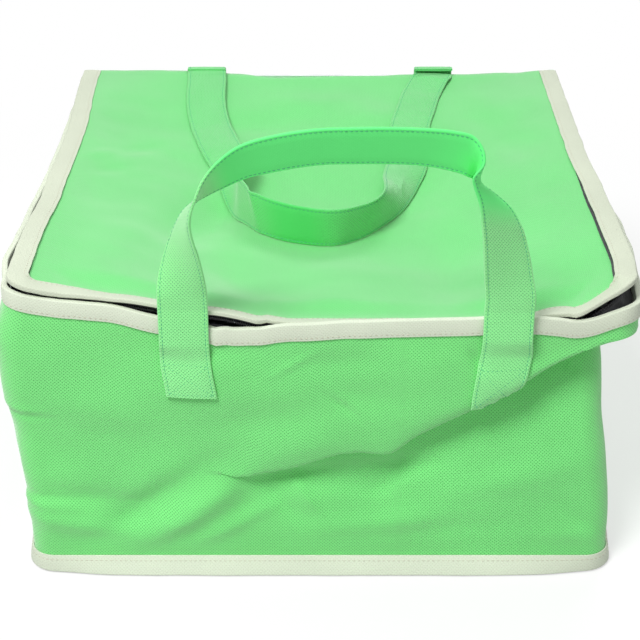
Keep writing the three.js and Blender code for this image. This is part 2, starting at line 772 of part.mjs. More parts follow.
function backHandleLoop() {
  const stops = backLoopShares.map(([across, forward, turnShare]) => {
    const turn = turnShare * Math.PI;
    const edge = new THREE.Vector3(-Math.cos(turn), 0, -Math.sin(turn));
    const x = across * backHandleSpacing / 2;
    const y = depth / 2 - backHandleInset - forward * backHandleReach;
    const seats = [-1, 0, 1].map((part) => (
      lidTopAt(x + part * edge.x * strapWidth / 2, y) - part * edge.z * strapWidth / 2
    ));
    const z = Math.max(...seats) + strapClearance + strapThickness / 2 * Math.abs(edge.x);
    return { place: new THREE.Vector3(x, y, z), edge };
  });
  return strap(stops, backLoopSteps);
}

// Zip slider, drawn about its own middle: the coils pass on both sides of its wedge
const sliderPark = new THREE.Vector3(width / 2 - zipInset, depth / 2 - sliderParkInset, zipLine(width / 2));

function zipSlider() {
  const channel = coilSize / 2 + fitGap;
  const face = channel + sliderPlate;
  const half = sliderLength / 2;
  const slot = tapeThickness / 2 + fitGap;
  const lipLow = sliderHalf - sliderLip;
  let body = solid(block([-face, -half, -sliderHalf], [face, half, sliderHalf]));
  body = body.subtract(solid(block([-channel, -sliderLength, -lipLow], [channel, sliderLength, lipLow])));
  body = body.subtract(solid(block([-slot, -sliderLength, -height], [slot, sliderLength, height])));
  const waist = sliderHalf - sliderShoulder;
  const neck = half - sliderShoulder;
  const outline = [
    [-half, -waist], [-neck, -sliderHalf], [neck, -sliderHalf], [half, -waist],
    [half, waist], [neck, sliderHalf], [-neck, sliderHalf], [-half, waist],
  ];
  const plan = raised(outline, -face, face).rotateX(quarterTurn).rotateZ(quarterTurn);
  body = body.intersect(solid(plan));
  const wedgeHalf = wedgeSize / 2;
  const wedgeWide = neck - sliderShoulder;
  const wedge = [
    [-neck, 0], [-wedgeWide, -wedgeHalf], [0, -wedgeHalf],
    [wedgeSize, 0], [0, wedgeHalf], [-wedgeWide, wedgeHalf],
  ];
  body = body.add(solid(raised(wedge, -face, face).rotateX(quarterTurn).rotateZ(quarterTurn)));
  const reach = face + bridgeRise;
  const bridgeHalf = bridgeLength / 2;
  let bridge = solid(block([channel, -bridgeHalf, -bridgeWidth / 2], [reach, bridgeHalf, bridgeWidth / 2]));
  bridge = bridge.subtract(solid(block(
    [face, -bridgeHalf + bridgeThickness, -bridgeWidth],
    [reach - bridgeThickness, bridgeHalf - bridgeThickness, bridgeWidth],
  )));
  return geometryOf(body.add(bridge)).translate(sliderPark.x, sliderPark.y, sliderPark.z);
}

// Zip pull: a flat tab whose eye goes round the bridge, with its pin in the bridge's tunnel
const pullPinOut = coilSize / 2 + fitGap + sliderPlate + (bridgeRise - bridgeThickness) / 2;

function zipPull() {
  const half = pullWidth / 2;
  const low = -pullThickness / 2;
  const high = pullThickness / 2;
  const pinBack = pullPin / 2;
  const tabStart = -pullEyeLength;
  const shape = new THREE.Shape();
  shape.moveTo(-half, pinBack);
  shape.lineTo(-half, -pullLength + half);
  shape.absarc(0, -pullLength + half, half, Math.PI, 2 * Math.PI, false);
  shape.lineTo(half, pinBack);
  shape.closePath();
  const eye = new THREE.Path();
  eye.moveTo(-pullEyeWidth / 2, -pinBack);
  eye.lineTo(-pullEyeWidth / 2, tabStart);
  eye.lineTo(pullEyeWidth / 2, tabStart);
  eye.lineTo(pullEyeWidth / 2, -pinBack);
  eye.closePath();
  const hole = new THREE.Path();
  hole.absarc(0, -pullLength + half, pullHoleRadius, 0, 2 * Math.PI, true);
  shape.holes.push(eye, hole);
  const tab = new THREE.ExtrudeGeometry(shape, { depth: high - low, bevelEnabled: false, curveSegments: 8 });
  return tab.translate(0, 0, low).rotateY(quarterTurn)
    .translate(sliderPark.x + pullPinOut, sliderPark.y, sliderPark.z);
}

// Body of the bag
addPiece('wall_band', wallBand(), greenFabric);
addPiece('back_panel', backPanel(), greenFabric);
addPiece('bottom_panel', bottomPanel(), greenFabric);
addPiece('front_liner', frontLiner(), foilFoam);
addPiece('left_liner', sideLiner(-1), foilFoam);
addPiece('right_liner', sideLiner(1), foilFoam);
addPiece('back_liner', backLiner(), foilFoam);
addPiece('bottom_liner', bottomLiner(), foilFoam);
addPiece('rim_binding', rimBinding(), creamFabric);
addPiece('bottom_binding', bottomBinding(), creamFabric);
addPiece('back_left_binding', backSeamBinding(-1), creamFabric);
addPiece('back_right_binding', backSeamBinding(1), creamFabric);
addPiece('rim_zip_tape', rimZipTape(), blackTape);
addPiece('rim_zip_coil', coilBead(trimmedStations(coilEndInset), -coilLift), blackCoil);
addPiece('front_handle_left_end', frontHandleEnd(-1), strapFabric);
addPiece('front_handle_right_end', frontHandleEnd(1), strapFabric);
addPiece('back_handle_left_end', backHandleEnd(-1), strapFabric);
addPiece('back_handle_right_end', backHandleEnd(1), strapFabric);

// Lid
const lidCoilEnd = sliderParkInset + sliderLength / 2 + 2 * wedgeSize;
addPiece('lid_panel', lidPanel(), greenFabric);
addPiece('lid_liner', lidLiner(), foilFoam);
addPiece('lid_binding', lidBinding(), creamFabric);
addPiece('lid_zip_tape', lidZipTape(), blackTape);
addPiece('lid_zip_coil', coilBead(trimmedStations(coilEndInset, lidCoilEnd), coilLift), blackCoil);

// Handles and zip hardware
addPiece('front_handle', frontHandleLoop(), strapFabric);
addPiece('back_handle', backHandleLoop(), strapFabric);
addPiece('zip_slider', zipSlider(), blackMetal);
addPiece('zip_pull', zipPull(), blackMetal);

export default group;
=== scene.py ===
# Insulated delivery bag with a zipped lid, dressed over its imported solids. Metres, +Z up, front at -Y.
import math

import bpy
import numpy as np
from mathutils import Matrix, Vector, noise


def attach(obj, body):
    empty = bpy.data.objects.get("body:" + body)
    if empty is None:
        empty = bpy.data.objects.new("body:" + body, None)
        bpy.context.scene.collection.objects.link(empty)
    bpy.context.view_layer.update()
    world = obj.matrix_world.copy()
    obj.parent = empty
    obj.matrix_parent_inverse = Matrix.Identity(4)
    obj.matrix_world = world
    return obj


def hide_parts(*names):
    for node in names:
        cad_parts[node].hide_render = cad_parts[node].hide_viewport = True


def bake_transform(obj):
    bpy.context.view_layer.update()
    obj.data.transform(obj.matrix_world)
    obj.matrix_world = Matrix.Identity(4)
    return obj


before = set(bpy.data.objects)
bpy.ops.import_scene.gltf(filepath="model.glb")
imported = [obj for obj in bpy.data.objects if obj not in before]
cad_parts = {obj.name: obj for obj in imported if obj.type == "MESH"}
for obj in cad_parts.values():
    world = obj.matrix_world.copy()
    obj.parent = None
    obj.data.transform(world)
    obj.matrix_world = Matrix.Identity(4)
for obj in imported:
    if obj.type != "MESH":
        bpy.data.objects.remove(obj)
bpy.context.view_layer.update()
bpy.ops.object.select_all(action="DESELECT")

# Camera: level with the photograph's view, straight at the front and 27.9 degrees down.
bpy.ops.object.camera_add(location=(0, -1.00485, 0.60935), rotation=(math.radians(62.1), 0, 0))
camera = bpy.context.object
camera.name = "camera"
camera.data.lens = 93.7
camera.data.sensor_width = 36
bpy.context.scene.camera = camera
bpy.context.scene.view_settings.view_transform = "Standard"


# Floor and light: a pale table top, a white surround, one broad soft lamp high in front and to the left
# and a weaker one behind. The surround is white to the camera and dimmer for lighting the bag.
def fill(tree, node, inputs):
    """Links or sets a node's inputs, by name or in order."""
    for key, value in inputs.items() if isinstance(inputs, dict) else enumerate(inputs):
        if isinstance(value, bpy.types.NodeSocket):
            tree.links.new(value, node.inputs[key])
        else:
            node.inputs[key].default_value = value


def add_node(tree, kind, inputs=(), **settings):
    """Adds a node, sets its options, and links or sets its inputs."""
    node = tree.nodes.new(kind)
    for key, value in settings.items():
        setattr(node, key, value)
    fill(tree, node, inputs)
    return node


def arithmetic(tree, operation, *values):
    return add_node(tree, "ShaderNodeMath", values, operation=operation).outputs[0]


def spread(tree, value, old, new, **settings):
    """Takes a value from its old range to a new one, held at both ends."""
    ends = {"From Min": old[0], "From Max": old[1], "To Min": new[0], "To Max": new[1]}
    return add_node(tree, "ShaderNodeMapRange", {"Value": value, **ends}, **settings).outputs[0]


def new_material(name):
    """A material, its node tree and its shader."""
    material = bpy.data.materials.new(name)
    material.use_nodes = True
    return material, material.node_tree, material.node_tree.nodes["Principled BSDF"]


bpy.ops.mesh.primitive_plane_add(size=8, location=(0, 0, -0.0003))
bpy.ops.object.transform_apply(location=True, rotation=True, scale=True)
floor = bpy.context.object
floor.name = "table_top"
table_paint, tree, shader = new_material("table paint")
light_path = add_node(tree, "ShaderNodeLightPath").outputs
paint = spread(tree, light_path["Is Diffuse Ray"], (0, 1), (0.94, 0.6))
fill(tree, shader, {"Base Color": paint, "Roughness": 0.9, "Specular IOR Level": 0.1})
spot_on_table = add_node(tree, "ShaderNodeTexCoord").outputs["Object"]
from_bag = add_node(tree, "ShaderNodeVectorMath", [spot_on_table], operation="LENGTH").outputs["Value"]
fade = spread(tree, from_bag, (0.24, 0.7), (0.55, 1), interpolation_type="SMOOTHSTEP")
fade = arithmetic(tree, "MULTIPLY", fade, light_path["Is Camera Ray"])
bright = add_node(tree, "ShaderNodeEmission", {"Strength": 1.0})
faded_table = add_node(tree, "ShaderNodeMixShader", [fade, shader.outputs[0], bright.outputs[0]])
fill(tree, tree.nodes["Material Output"], {"Surface": faded_table.outputs[0]})
floor.data.materials.append(table_paint)

surround = bpy.data.worlds.new("surround")
surround.use_nodes = True
bpy.context.scene.world = surround
tree = surround.node_tree
light_path = add_node(tree, "ShaderNodeLightPath").outputs
seen = arithmetic(tree, "MAXIMUM", light_path["Is Camera Ray"], light_path["Is Glossy Ray"])
seen = arithmetic(tree, "MAXIMUM", seen, light_path["Is Transmission Ray"])
level = spread(tree, seen, (0, 1), (0.43, 1))
fill(tree, tree.nodes["Background"], {"Color": (1, 1, 1, 1), "Strength": level})


def soft_lamp(name, place, aim, size, watts):
    direction = Vector(aim) - Vector(place)
    turn = direction.to_track_quat("-Z", "Y").to_euler()
    bpy.ops.object.light_add(type="AREA", location=place, rotation=turn)
    lamp = bpy.context.object
    lamp.name = name
    lamp.data.shape = "DISK"
    lamp.data.size = size
    lamp.data.energy = watts


soft_lamp("key_lamp", (-0.5, -0.95, 1.52), (0, 0, 0.08), 0.6, 25)
soft_lamp("back_lamp", (0.3, 0.95, 1.55), (0, 0, 0.1), 0.8, 8)


# Walls: one length of green cloth round the left, front and right sides, sewn in at the bottom and the
# rim. The right front corner has slumped, so that the upper wall hangs over in a fold that runs down to
# the left and fades into a hollow in the middle of the front. The left front corner bulges out.
WIDTH = 0.350
DEPTH = 0.358
HEIGHT = 0.195
CORNER = 0.014
FRONT_HALF = WIDTH / 2 - CORNER
CORNER_Y = -DEPTH / 2 + CORNER
BACK_END = DEPTH / 2 - 0.0016
LID_FLANGE = 0.0036
RIM_LIFT = 0.0024
RIM_DEPTH = 0.0105

# The front of the lid and the rim has slumped between the two corner folds, and over its middle the lid
# is tucked in behind the rim. Rows of (share of the front's half width, amount).
DIPS = [
    (-1.085, 0), (-0.86, 0.29), (-0.74, 0.33), (-0.4, 0.6), (-0.1, 1), (0.3, 1), (0.66, 0.96), (0.84, 0.86),
    (1.085, 0),
]
BOWS = [(-1, 0), (-0.3, 1), (0.5, 1), (1, 0)]
SLITS = [
    (-1, 0.12), (-0.9, 0.02), (-0.78, 0.06), (-0.55, 0.45), (-0.35, 0.75), (-0.14, 0.08), (0.8, 0.08), (1, 1),
]
TUCKS = [(-0.22, 0), (-0.1, 1), (0.72, 1), (0.84, 0)]
LIFTS = [
    (-1.085, -0.5), (-0.86, -0.4), (-0.70, 0), (-0.34, 0.8), (-0.22, 1.6), (-0.07, 2.6), (0.1, 4.2), (0.3, 5.4),
    (0.55, 5.6), (0.68, 4.6), (0.82, 2.8), (0.96, 3.2), (1.085, -0.8),
]


def beside(rows, place):
    """A place, held within rows of (place, value), and the rows on both sides of it."""
    at = min(max(place, rows[0][0]), rows[-1][0])
    i = next(k for k in range(1, len(rows)) if rows[k][0] >= at)
    return at, *rows[i - 1], *rows[i]


def eased(rows, place):
    at, a, low, b, high = beside(rows, place)
    t = (at - a) / (b - a)
    return low + (high - low) * t * t * (3 - 2 * t)


def linear(rows, place):
    at, a, low, b, high = beside(rows, place)
    return low + (high - low) * (at - a) / (b - a)


def ramp(value, low, high):
    t = min(max((value - low) / (high - low), 0), 1)
    return t * t * (3 - 2 * t)


def lid_top(x):
    return HEIGHT - 0.023 * eased(DIPS, x / FRONT_HALF)


def tuck(x):
    return eased(TUCKS, x / FRONT_HALF)


def rim_top(x):
    lift = 0.001 * eased(LIFTS, x / FRONT_HALF)
    return lid_top(x) - LID_FLANGE - 0.0101 * eased(SLITS, x / FRONT_HALF) + RIM_LIFT * tuck(x) + lift


def behind(x):
    """How far the lid's front edge is drawn back, where it goes down behind the rim."""
    return 0.0040 * ramp(rim_top(x) - lid_top(x), -0.0050, -0.0030)


def bow(x):
    return 0.006 * eased(BOWS, x / FRONT_HALF) if abs(x) <= FRONT_HALF else 0


# The walls' line in plan runs from the left back corner round the front to the right back corner
SIDE_RUN = BACK_END - CORNER_Y
ARC_RUN = CORNER * math.pi / 2
HALF_RUN = SIDE_RUN + ARC_RUN + FRONT_HALF
WALL_RUN = 2 * HALF_RUN


def plan(s):
    """A place on the line and its outward direction, a distance s from the left back corner."""
    side = -1 if s <= HALF_RUN else 1
    t = s if side < 0 else WALL_RUN - s
    if t < SIDE_RUN:
        return Vector((side * WIDTH / 2, BACK_END - t, 0)), Vector((side, 0, 0))
    if t < SIDE_RUN + ARC_RUN:
        turn = (t - SIDE_RUN) / CORNER
        out = Vector((side * math.cos(turn), -math.sin(turn), 0))
        return Vector((side * FRONT_HALF, CORNER_Y, 0)) + out * CORNER, out
    return Vector((side * (HALF_RUN - t), -DEPTH / 2, 0)), Vector((0, -1, 0))


# The sides aren't straight: the lid's left edge is drawn in, its right front corner stands out, and the
# rim bulges out further than the lid towards the front. Rows of (y, how far out), left then right.
LID_FLARES = (
    [(-0.165, 0.0015), (-0.116, 0.0013), (-0.056, -0.0020), (0.053, -0.0035), (0.15, 0), (0.18, 0)],
    [(-0.165, 0.0035), (-0.143, 0.0050), (-0.098, 0.0040), (-0.044, 0.0024), (0.01, 0), (0.18, 0)],
)
RIM_FLARES = (
    [
        (-0.165, 0.0040), (-0.134, 0.0080), (-0.108, 0.0060), (-0.079, 0.0045), (0.0, 0.001), (0.05, 0),
        (0.18, 0),
    ],
    [
        (-0.165, 0.0065), (-0.140, 0.0090), (-0.105, 0.0115), (-0.066, 0.0110), (-0.020, 0.0040), (0.03, 0),
        (0.18, 0),
    ],
)


def flare(rows, x, y):
    """A shift in x at a place on the plan's line, fading towards the middle of the front."""
    side = -1 if x < 0 else 1
    return Vector((side * eased(rows[side > 0], y) * ramp(abs(x), 0.085, 0.172), 0, 0))


def run_lengths(line):
    """How far along a line each of its points is."""
    return np.concatenate([[0], np.cumsum(np.linalg.norm(np.diff(line, axis=0), axis=1))])


def cloth_grid(name, table):
    """A sheet of cloth through a table of places, column by column, with its UV map in metres."""
    table = np.array([[tuple(place) for place in column] for column in table])
    columns, rows = len(table) - 1, len(table[0]) - 1
    bpy.ops.object.select_all(action="DESELECT")
    bpy.ops.mesh.primitive_grid_add(x_subdivisions=columns, y_subdivisions=rows, size=1, calc_uvs=True)
    piece = bpy.context.object
    piece.name = name
    mesh = piece.data
    mesh.name = name
    grid = np.empty(len(mesh.vertices) * 3)
    mesh.vertices.foreach_get("co", grid)
    grid = grid.reshape(-1, 3)
    across = np.rint((grid[:, 0] + 0.5) * columns).astype(int)
    along = np.rint((grid[:, 1] + 0.5) * rows).astype(int)
    mesh.vertices.foreach_set("co", table[across, along].ravel())
    u = run_lengths(table[:, rows // 2])
    v = np.cumsum(np.linalg.norm(np.diff(table, axis=1, prepend=table[:, :1]), axis=2), axis=1)
    corner = np.empty(len(mesh.loops), int)
    mesh.loops.foreach_get("vertex_index", corner)
    uv = np.stack([u[across[corner]], v[across[corner], along[corner]]], axis=1)
    mesh.uv_layers.active.data.foreach_set("uv", uv.ravel())
    mesh.update()
    return piece


def pick(piece):
    """Selects one piece alone."""
    bpy.ops.object.select_all(action="DESELECT")
    piece.select_set(True)
    bpy.context.view_layer.objects.active = piece


def smooth(piece, degrees=50):
    pick(piece)
    bpy.ops.object.shade_smooth_by_angle(angle=math.radians(degrees))
    return piece


def thicken(piece, thickness, material, offset=-1.0):
    """Gives a sheet its thickness and its material."""
    pick(piece)
    wall = piece.modifiers.new("thickness", "SOLIDIFY")
    wall.thickness = thickness
    wall.offset = offset
    bpy.ops.object.modifier_apply(modifier=wall.name)
    piece.data.materials.append(material)
    smooth(piece)


# Embossed non-woven cloth: spunbonded fibre with small pressed dots in a diamond lattice 1.5 mm apart.
# The pressed dots are darker and a little glossier, and the fibre between them is fuzzy and uneven.
def new_group(name, inputs, outputs):
    group = bpy.data.node_groups.new(name, "ShaderNodeTree")
    for label, kind, value in inputs:
        socket = group.interface.new_socket(label, in_out="INPUT", socket_type=kind)
        if value is not None:
            socket.default_value = value
    for label, kind in outputs:
        group.interface.new_socket(label, in_out="OUTPUT", socket_type=kind)
    return group, group.nodes.new("NodeGroupInput").outputs, group.nodes.new("NodeGroupOutput")


def speckle(tree, place, scale, detail, dimensions="2D"):
    inputs = {"Vector": place, "Scale": scale, "Detail": detail}
    return add_node(tree, "ShaderNodeTexNoise", inputs, noise_dimensions=dimensions).outputs[0]


def mix_colours(tree, share, first, second):
    return add_node(tree, "ShaderNodeMix", {"Factor": share, 6: first, 7: second}, data_type="RGBA").outputs[2]


def scaled(tree, vector, scale):
    return add_node(tree, "ShaderNodeVectorMath", {0: vector, "Scale": scale}, operation="SCALE").outputs[0]


pressed_cloth, given, result = new_group(
    "pressed cloth",
    [
        ("Place", "NodeSocketVector", None),
        ("Cloth Colour", "NodeSocketColor", (0.3, 0.8, 0.35, 1)),
        ("Dot Colour", "NodeSocketColor", (0.1, 0.5, 0.2, 1)),
        ("Dot Pitch", "NodeSocketFloat", 0.0021),
        ("Dot Strength", "NodeSocketFloat", 0.7),
        ("Mottle", "NodeSocketFloat", 0.035),
    ],
    [("Colour", "NodeSocketColor"), ("Roughness", "NodeSocketFloat"), ("Height", "NodeSocketFloat")],
)
tree = pressed_cloth
turns = arithmetic(tree, "DIVIDE", 2 * math.pi, given["Dot Pitch"])
lattice = add_node(tree, "ShaderNodeSeparateXYZ", [scaled(tree, given["Place"], turns)]).outputs
waves = [arithmetic(tree, "COSINE", lattice[axis]) for axis in (0, 1)]
both_waves = arithmetic(tree, "MULTIPLY", *waves)
dots = spread(tree, both_waves, (0.2, 0.85), (0, 1), interpolation_type="SMOOTHSTEP")
fibre = speckle(tree, given["Place"], 1400, 2)
patches = speckle(tree, given["Place"], 17, 5)
mottle = arithmetic(tree, "MULTIPLY", spread(tree, patches, (0.3, 0.7), (-1, 1)), given["Mottle"])
lint = spread(tree, fibre, (0.25, 0.75), (-0.06, 0.06))
tone = arithmetic(tree, "ADD", arithmetic(tree, "ADD", mottle, lint), 1.0)
dot_share = arithmetic(tree, "MULTIPLY", dots, given["Dot Strength"])
shade = mix_colours(tree, dot_share, given["Cloth Colour"], given["Dot Colour"])
fuzz = arithmetic(tree, "MULTIPLY", fibre, 0.45)
fill(tree, result, {
    "Colour": scaled(tree, shade, tone),
    "Roughness": spread(tree, dots, (0, 1), (0.78, 0.55)),
    "Height": arithmetic(tree, "SUBTRACT", fuzz, dots),
})


def cloth_material(name, cloth, dot, pitch=0.0021, strength=0.85, sheen=0.5, depth=0.00026, smooth_shaded=None):
    """Pressed cloth in its own colours; the last argument gives a smooth stretch with painted shade, its
    darker, more saturated colour without sheen, and where along the piece it lies.
    """
    material, tree, shader = new_material(name)
    place = add_node(tree, "ShaderNodeTexCoord").outputs["UV"]
    pressed = add_node(tree, "ShaderNodeGroup", {
        "Place": place, "Cloth Colour": (*cloth, 1), "Dot Colour": (*dot, 1), "Dot Pitch": pitch,
        "Dot Strength": strength,
    }, node_tree=pressed_cloth)
    colour, roughness, height = (pressed.outputs[label] for label in ("Colour", "Roughness", "Height"))
    bump = add_node(tree, "ShaderNodeBump", {"Strength": 0.7, "Distance": depth, "Height": height})
    fill(tree, shader, {
        "Base Color": colour, "Roughness": roughness, "Normal": bump.outputs[0], "Sheen Weight": sheen,
        "Sheen Roughness": 0.5,
    })
    # Painted shade along the given stretch: the colour turns to the darker, more saturated one, the sheen
    # fades, and the dots and bump grow faint.
    if smooth_shaded:
        shaded_smooth_colour, low, high = smooth_shaded
        along = add_node(tree, "ShaderNodeSeparateXYZ", [place]).outputs[0]
        away = arithmetic(tree, "ABSOLUTE", arithmetic(tree, "SUBTRACT", along, (low + high) / 2))
        half = (high - low) / 2
        fading = (half - 0.012, half + 0.012)
        keep = spread(tree, away, fading, (0.12, 1), interpolation_type="SMOOTHSTEP")
        fill(tree, pressed, {"Dot Strength": arithmetic(tree, "MULTIPLY", keep, strength)})
        fill(tree, bump, {"Strength": keep})
        fill(tree, shader, {
            "Sheen Weight": arithmetic(tree, "MULTIPLY", keep, sheen),
            "Base Color": mix_colours(tree, keep, (*shaded_smooth_colour, 1), colour),
        })
    return material


green_cloth = cloth_material("green cloth", (0.190, 0.76, 0.205), (0.030, 0.40, 0.055))

# The fold along the front, at each x: the height of its crest, how far the hollow's deepest line lies
# below that, and how deep the hollow is
CLOTH = 0.001
SEAM_Z = 0.011
HEM_Z = 0.0012
CRESTS = [
    (-0.175, 0.100), (-0.12, 0.088), (-0.08, 0.077), (-0.047, 0.072), (-0.016, 0.078), (-0.003, 0.083),
    (0.010, 0.088), (0.022, 0.090), (0.032, 0.089), (0.041, 0.088), (0.047, 0.092), (0.054, 0.099),
    (0.075, 0.111), (0.103, 0.125), (0.115, 0.132), (0.13, 0.143), (0.144, 0.151), (0.158, 0.157),
    (0.175, 0.160),
]
DROPS = [
    (-0.175, 0.045), (-0.12, 0.040), (-0.08, 0.032), (-0.047, 0.016), (-0.020, 0.010), (0.0, 0.014),
    (0.02, 0.020), (0.035, 0.022), (0.041, 0.018), (0.054, 0.013), (0.075, 0.011), (0.103, 0.010),
    (0.13, 0.009), (0.175, 0.008),
]
HOLLOWS = [
    (-0.175, 0), (-0.075, 0), (-0.056, 0.0010), (-0.045, 0.0038), (-0.02, 0.0085), (0.0, 0.0095),
    (0.02, 0.0105), (0.041, 0.0125), (0.054, 0.0135), (0.075, 0.0155), (0.103, 0.0175), (0.13, 0.0195),
    (0.175, 0.0205),
]
CORNER_BULGES = [(0, 0), (0.13, 0), (0.45, 0.6), (0.65, 1), (0.85, 0.8), (1, 0.1)]
SIDE_SWELL = 0.005


def soft_read(rows, x, blur=0.004):
    return (linear(rows, x - blur) + 2 * linear(rows, x) + linear(rows, x + blur)) / 4


# Small creases: middle, direction and length along the wall, width, and how far they stand in or out
FRONT_CREASES = [
    (-0.166, 0.109, -8, 0.014, 0.0013, -0.0016),
    (-0.166, 0.113, -8, 0.014, 0.0020, 0.0010),
    (-0.160, 0.052, -9, 0.018, 0.0016, -0.0016),
    (-0.158, 0.046, -9, 0.024, 0.0030, 0.0016),
    (0.013, 0.118, -40, 0.010, 0.0014, -0.0013),
    (0.017, 0.121, -40, 0.012, 0.0018, 0.0007),
    (-0.013, 0.148, 29, 0.016, 0.0016, 0.0012),
    (-0.078, 0.041, 38, 0.040, 0.0080, 0.0046),
    (-0.060, 0.028, 30, 0.033, 0.0050, 0.0020),
    (-0.098, 0.050, 38, 0.044, 0.0090, -0.0044),
    (-0.018, 0.066, 6, 0.020, 0.0045, -0.0030),
    (-0.010, 0.055, -54, 0.016, 0.0035, 0.0022),
    (-0.022, 0.048, -50, 0.018, 0.0050, -0.0020),
    (0.038, 0.070, 6, 0.040, 0.0070, -0.0022),
    (-0.140, 0.032, -12, 0.036, 0.0070, 0.0034),
    (-0.139, 0.052, -11, 0.036, 0.0080, -0.0026),
    (0.088, 0.150, -62, 0.008, 0.0030, -0.0024),
    (-0.051, 0.156, 0, 0.012, 0.0030, -0.0024),
    (0.153, 0.136, -33, 0.010, 0.0024, -0.0014),
    (0.160, 0.032, -40, 0.016, 0.0050, -0.0020),
    (0.150, 0.024, 0, 0.020, 0.0050, 0.0020),
    (0.040, 0.034, 8, 0.050, 0.0080, 0.0022),
    (-0.105, 0.088, -6, 0.060, 0.0200, -0.0040),
    (-0.020, 0.110, 12, 0.060, 0.0120, -0.0022),
    (0.110, 0.062, 14, 0.050, 0.0100, 0.0020),
    (0.030, 0.018, 4, 0.080, 0.0050, 0.0012),
]


def creases(rows, u, z):
    total = 0.0
    for cu, cz, angle, length, width, out in rows:
        a = math.radians(angle)
        along = (u - cu) * math.cos(a) + (z - cz) * math.sin(a)
        across = -(u - cu) * math.sin(a) + (z - cz) * math.cos(a)
        total += out * math.exp(-((along / length) ** 2) - (across / width) ** 2)
    return total


def undulation(s, z, scale, height, seed):
    return height * noise.noise(Vector((s * scale, z * scale * 1.3, seed)))


def skirt(foot):
    """How far the bottom seam flares out, less at the two front corners."""
    from_corner = math.hypot(WIDTH / 2 - abs(foot.x), foot.y + DEPTH / 2)
    return 0.007 - 0.0055 * math.exp(-((from_corner / 0.035) ** 2))


def rim_seam(x):
    return rim_top(x) - RIM_DEPTH - 0.0008


def wall_profile(s):
    """Points up the wall's outer face at a distance s along the plan's line, evenly spaced."""
    foot, out = plan(s)
    x, y = foot.x, foot.y
    top = rim_seam(x)
    from_corner = max(WIDTH / 2 - abs(x), 0) + max(y + DEPTH / 2, 0)
    right = x > 0
    side_share = min(max((y - CORNER_Y) / (BACK_END - CORNER_Y), 0), 1)
    read = x if y < CORNER_Y else (WIDTH / 2 if right else -WIDTH / 2)
    crest = soft_read(CRESTS, read)
    drop = soft_read(DROPS, read)
    hollow_y = soft_read(HOLLOWS, read)
    hollow_x = 0.020 * math.exp(-((from_corner / 0.055) ** 2)) if right else 0
    if y > CORNER_Y:
        hollow_y *= math.exp(-(((y - CORNER_Y) / 0.05) ** 2))
        crest += 0.006 * side_share
        drop += 0.03 * ramp(y, CORNER_Y, 0.0)
        hollow_x = 0.020 * math.exp(-(((y - CORNER_Y) / 0.085) ** 2)) if right else 0
    inward = Vector((-hollow_x, hollow_y, 0))
    low = crest - drop
    knots = [
        (SEAM_Z, 0.0), (SEAM_Z + 0.30 * (low - SEAM_Z), 0.14), (SEAM_Z + 0.62 * (low - SEAM_Z), 0.44),
        (low, 0.93), (low + 0.45 * drop, 0.92), (low + 0.80 * drop, 0.50), (crest, 0.08),
        (crest + 0.22 * (top - crest), -0.03), (crest + 0.60 * (top - crest), 0.0), (top, 0.0),
    ]
    fine = catmull([Vector((z, share, 0)) for z, share in knots], 96)
    heights = np.array([knot.x for knot in fine])
    overhang = min(1, (abs(hollow_x) + abs(hollow_y)) / (0.004 if y < CORNER_Y else 0.016))
    heights = overhang * heights + (1 - overhang) * np.maximum.accumulate(heights)
    bulge_x = -0.008 * math.exp(-((from_corner / 0.075) ** 2)) if not right else 0
    if y > CORNER_Y:
        swell = 4 * side_share * (1 - side_share) * SIDE_SWELL
    else:
        swell = 0.002 * (1 - (x / FRONT_HALF) ** 2) if abs(x) < FRONT_HALF else 0
    points = []
    for z, share in zip(heights.tolist(), [knot.y for knot in fine]):
        rise = (z - SEAM_Z) / (top - SEAM_Z)
        belly = math.sin(math.pi * min(max(rise, 0), 1))
        offset = out * (swell * belly + bow(x) * ramp(rise, 0, 1))
        bulge = Vector((bulge_x * eased(CORNER_BULGES, rise), 0, 0))
        bulge += flare(RIM_FLARES, x, y) * ramp(rise, 0.45, 1)
        small = undulation(s, z, 16, 0.0022, 3.1) + undulation(s, z, 42, 0.0007, 8.4)
        if y < CORNER_Y:
            small += creases(FRONT_CREASES, x, z)
        small *= min(1, 6 * rise, 10 * (1 - rise))
        points.append(foot + offset + bulge + inward * share + out * small + Vector((0, 0, z)))
    return points


def catmull(knots, steps):
    """Points evenly spaced in parameter on a centripetal curve through the knots."""
    made = []
    ends = [2 * knots[0] - knots[1], *knots, 2 * knots[-1] - knots[-2]]
    for step in range(steps + 1):
        place = (len(knots) - 1) * step / steps
        i = min(int(place), len(knots) - 2)
        t = place - i
        p0, p1, p2, p3 = ends[i:i + 4]
        d0, d1, d2 = ((b - a).length ** 0.5 for a, b in ((p0, p1), (p1, p2), (p2, p3)))
        d1 = d1 if d1 > 0.0001 else 1
        d0, d2 = (d if d > 0.0001 else d1 for d in (d0, d2))
        m1 = ((p1 - p0) / d0 - (p2 - p0) / (d0 + d1) + (p2 - p1) / d1) * d1
        m2 = ((p2 - p1) / d1 - (p3 - p1) / (d1 + d2) + (p3 - p2) / d2) * d1
        made.append(p1 + m1 * t + (3 * (p2 - p1) - 2 * m1 - m2) * t ** 2 + (2 * (p1 - p2) + m1 + m2) * t ** 3)
    return made


def read_line(at, run, line):
    """The places at distances along a line, where run holds its run lengths."""
    return np.stack([np.interp(at, run, line[:, k]) for k in range(3)], axis=-1)


def even_steps(points, count):
    """The same line, cut into equal lengths."""
    line = np.array([tuple(p) for p in points])
    run = run_lengths(line)
    return read_line(np.linspace(0, run[-1], count + 1), run, line)


WALL_COLUMNS = 440
WALL_ROWS = 92
SKIRT_ROWS = 4
RIM_ROWS = 5
wall_lines = {}


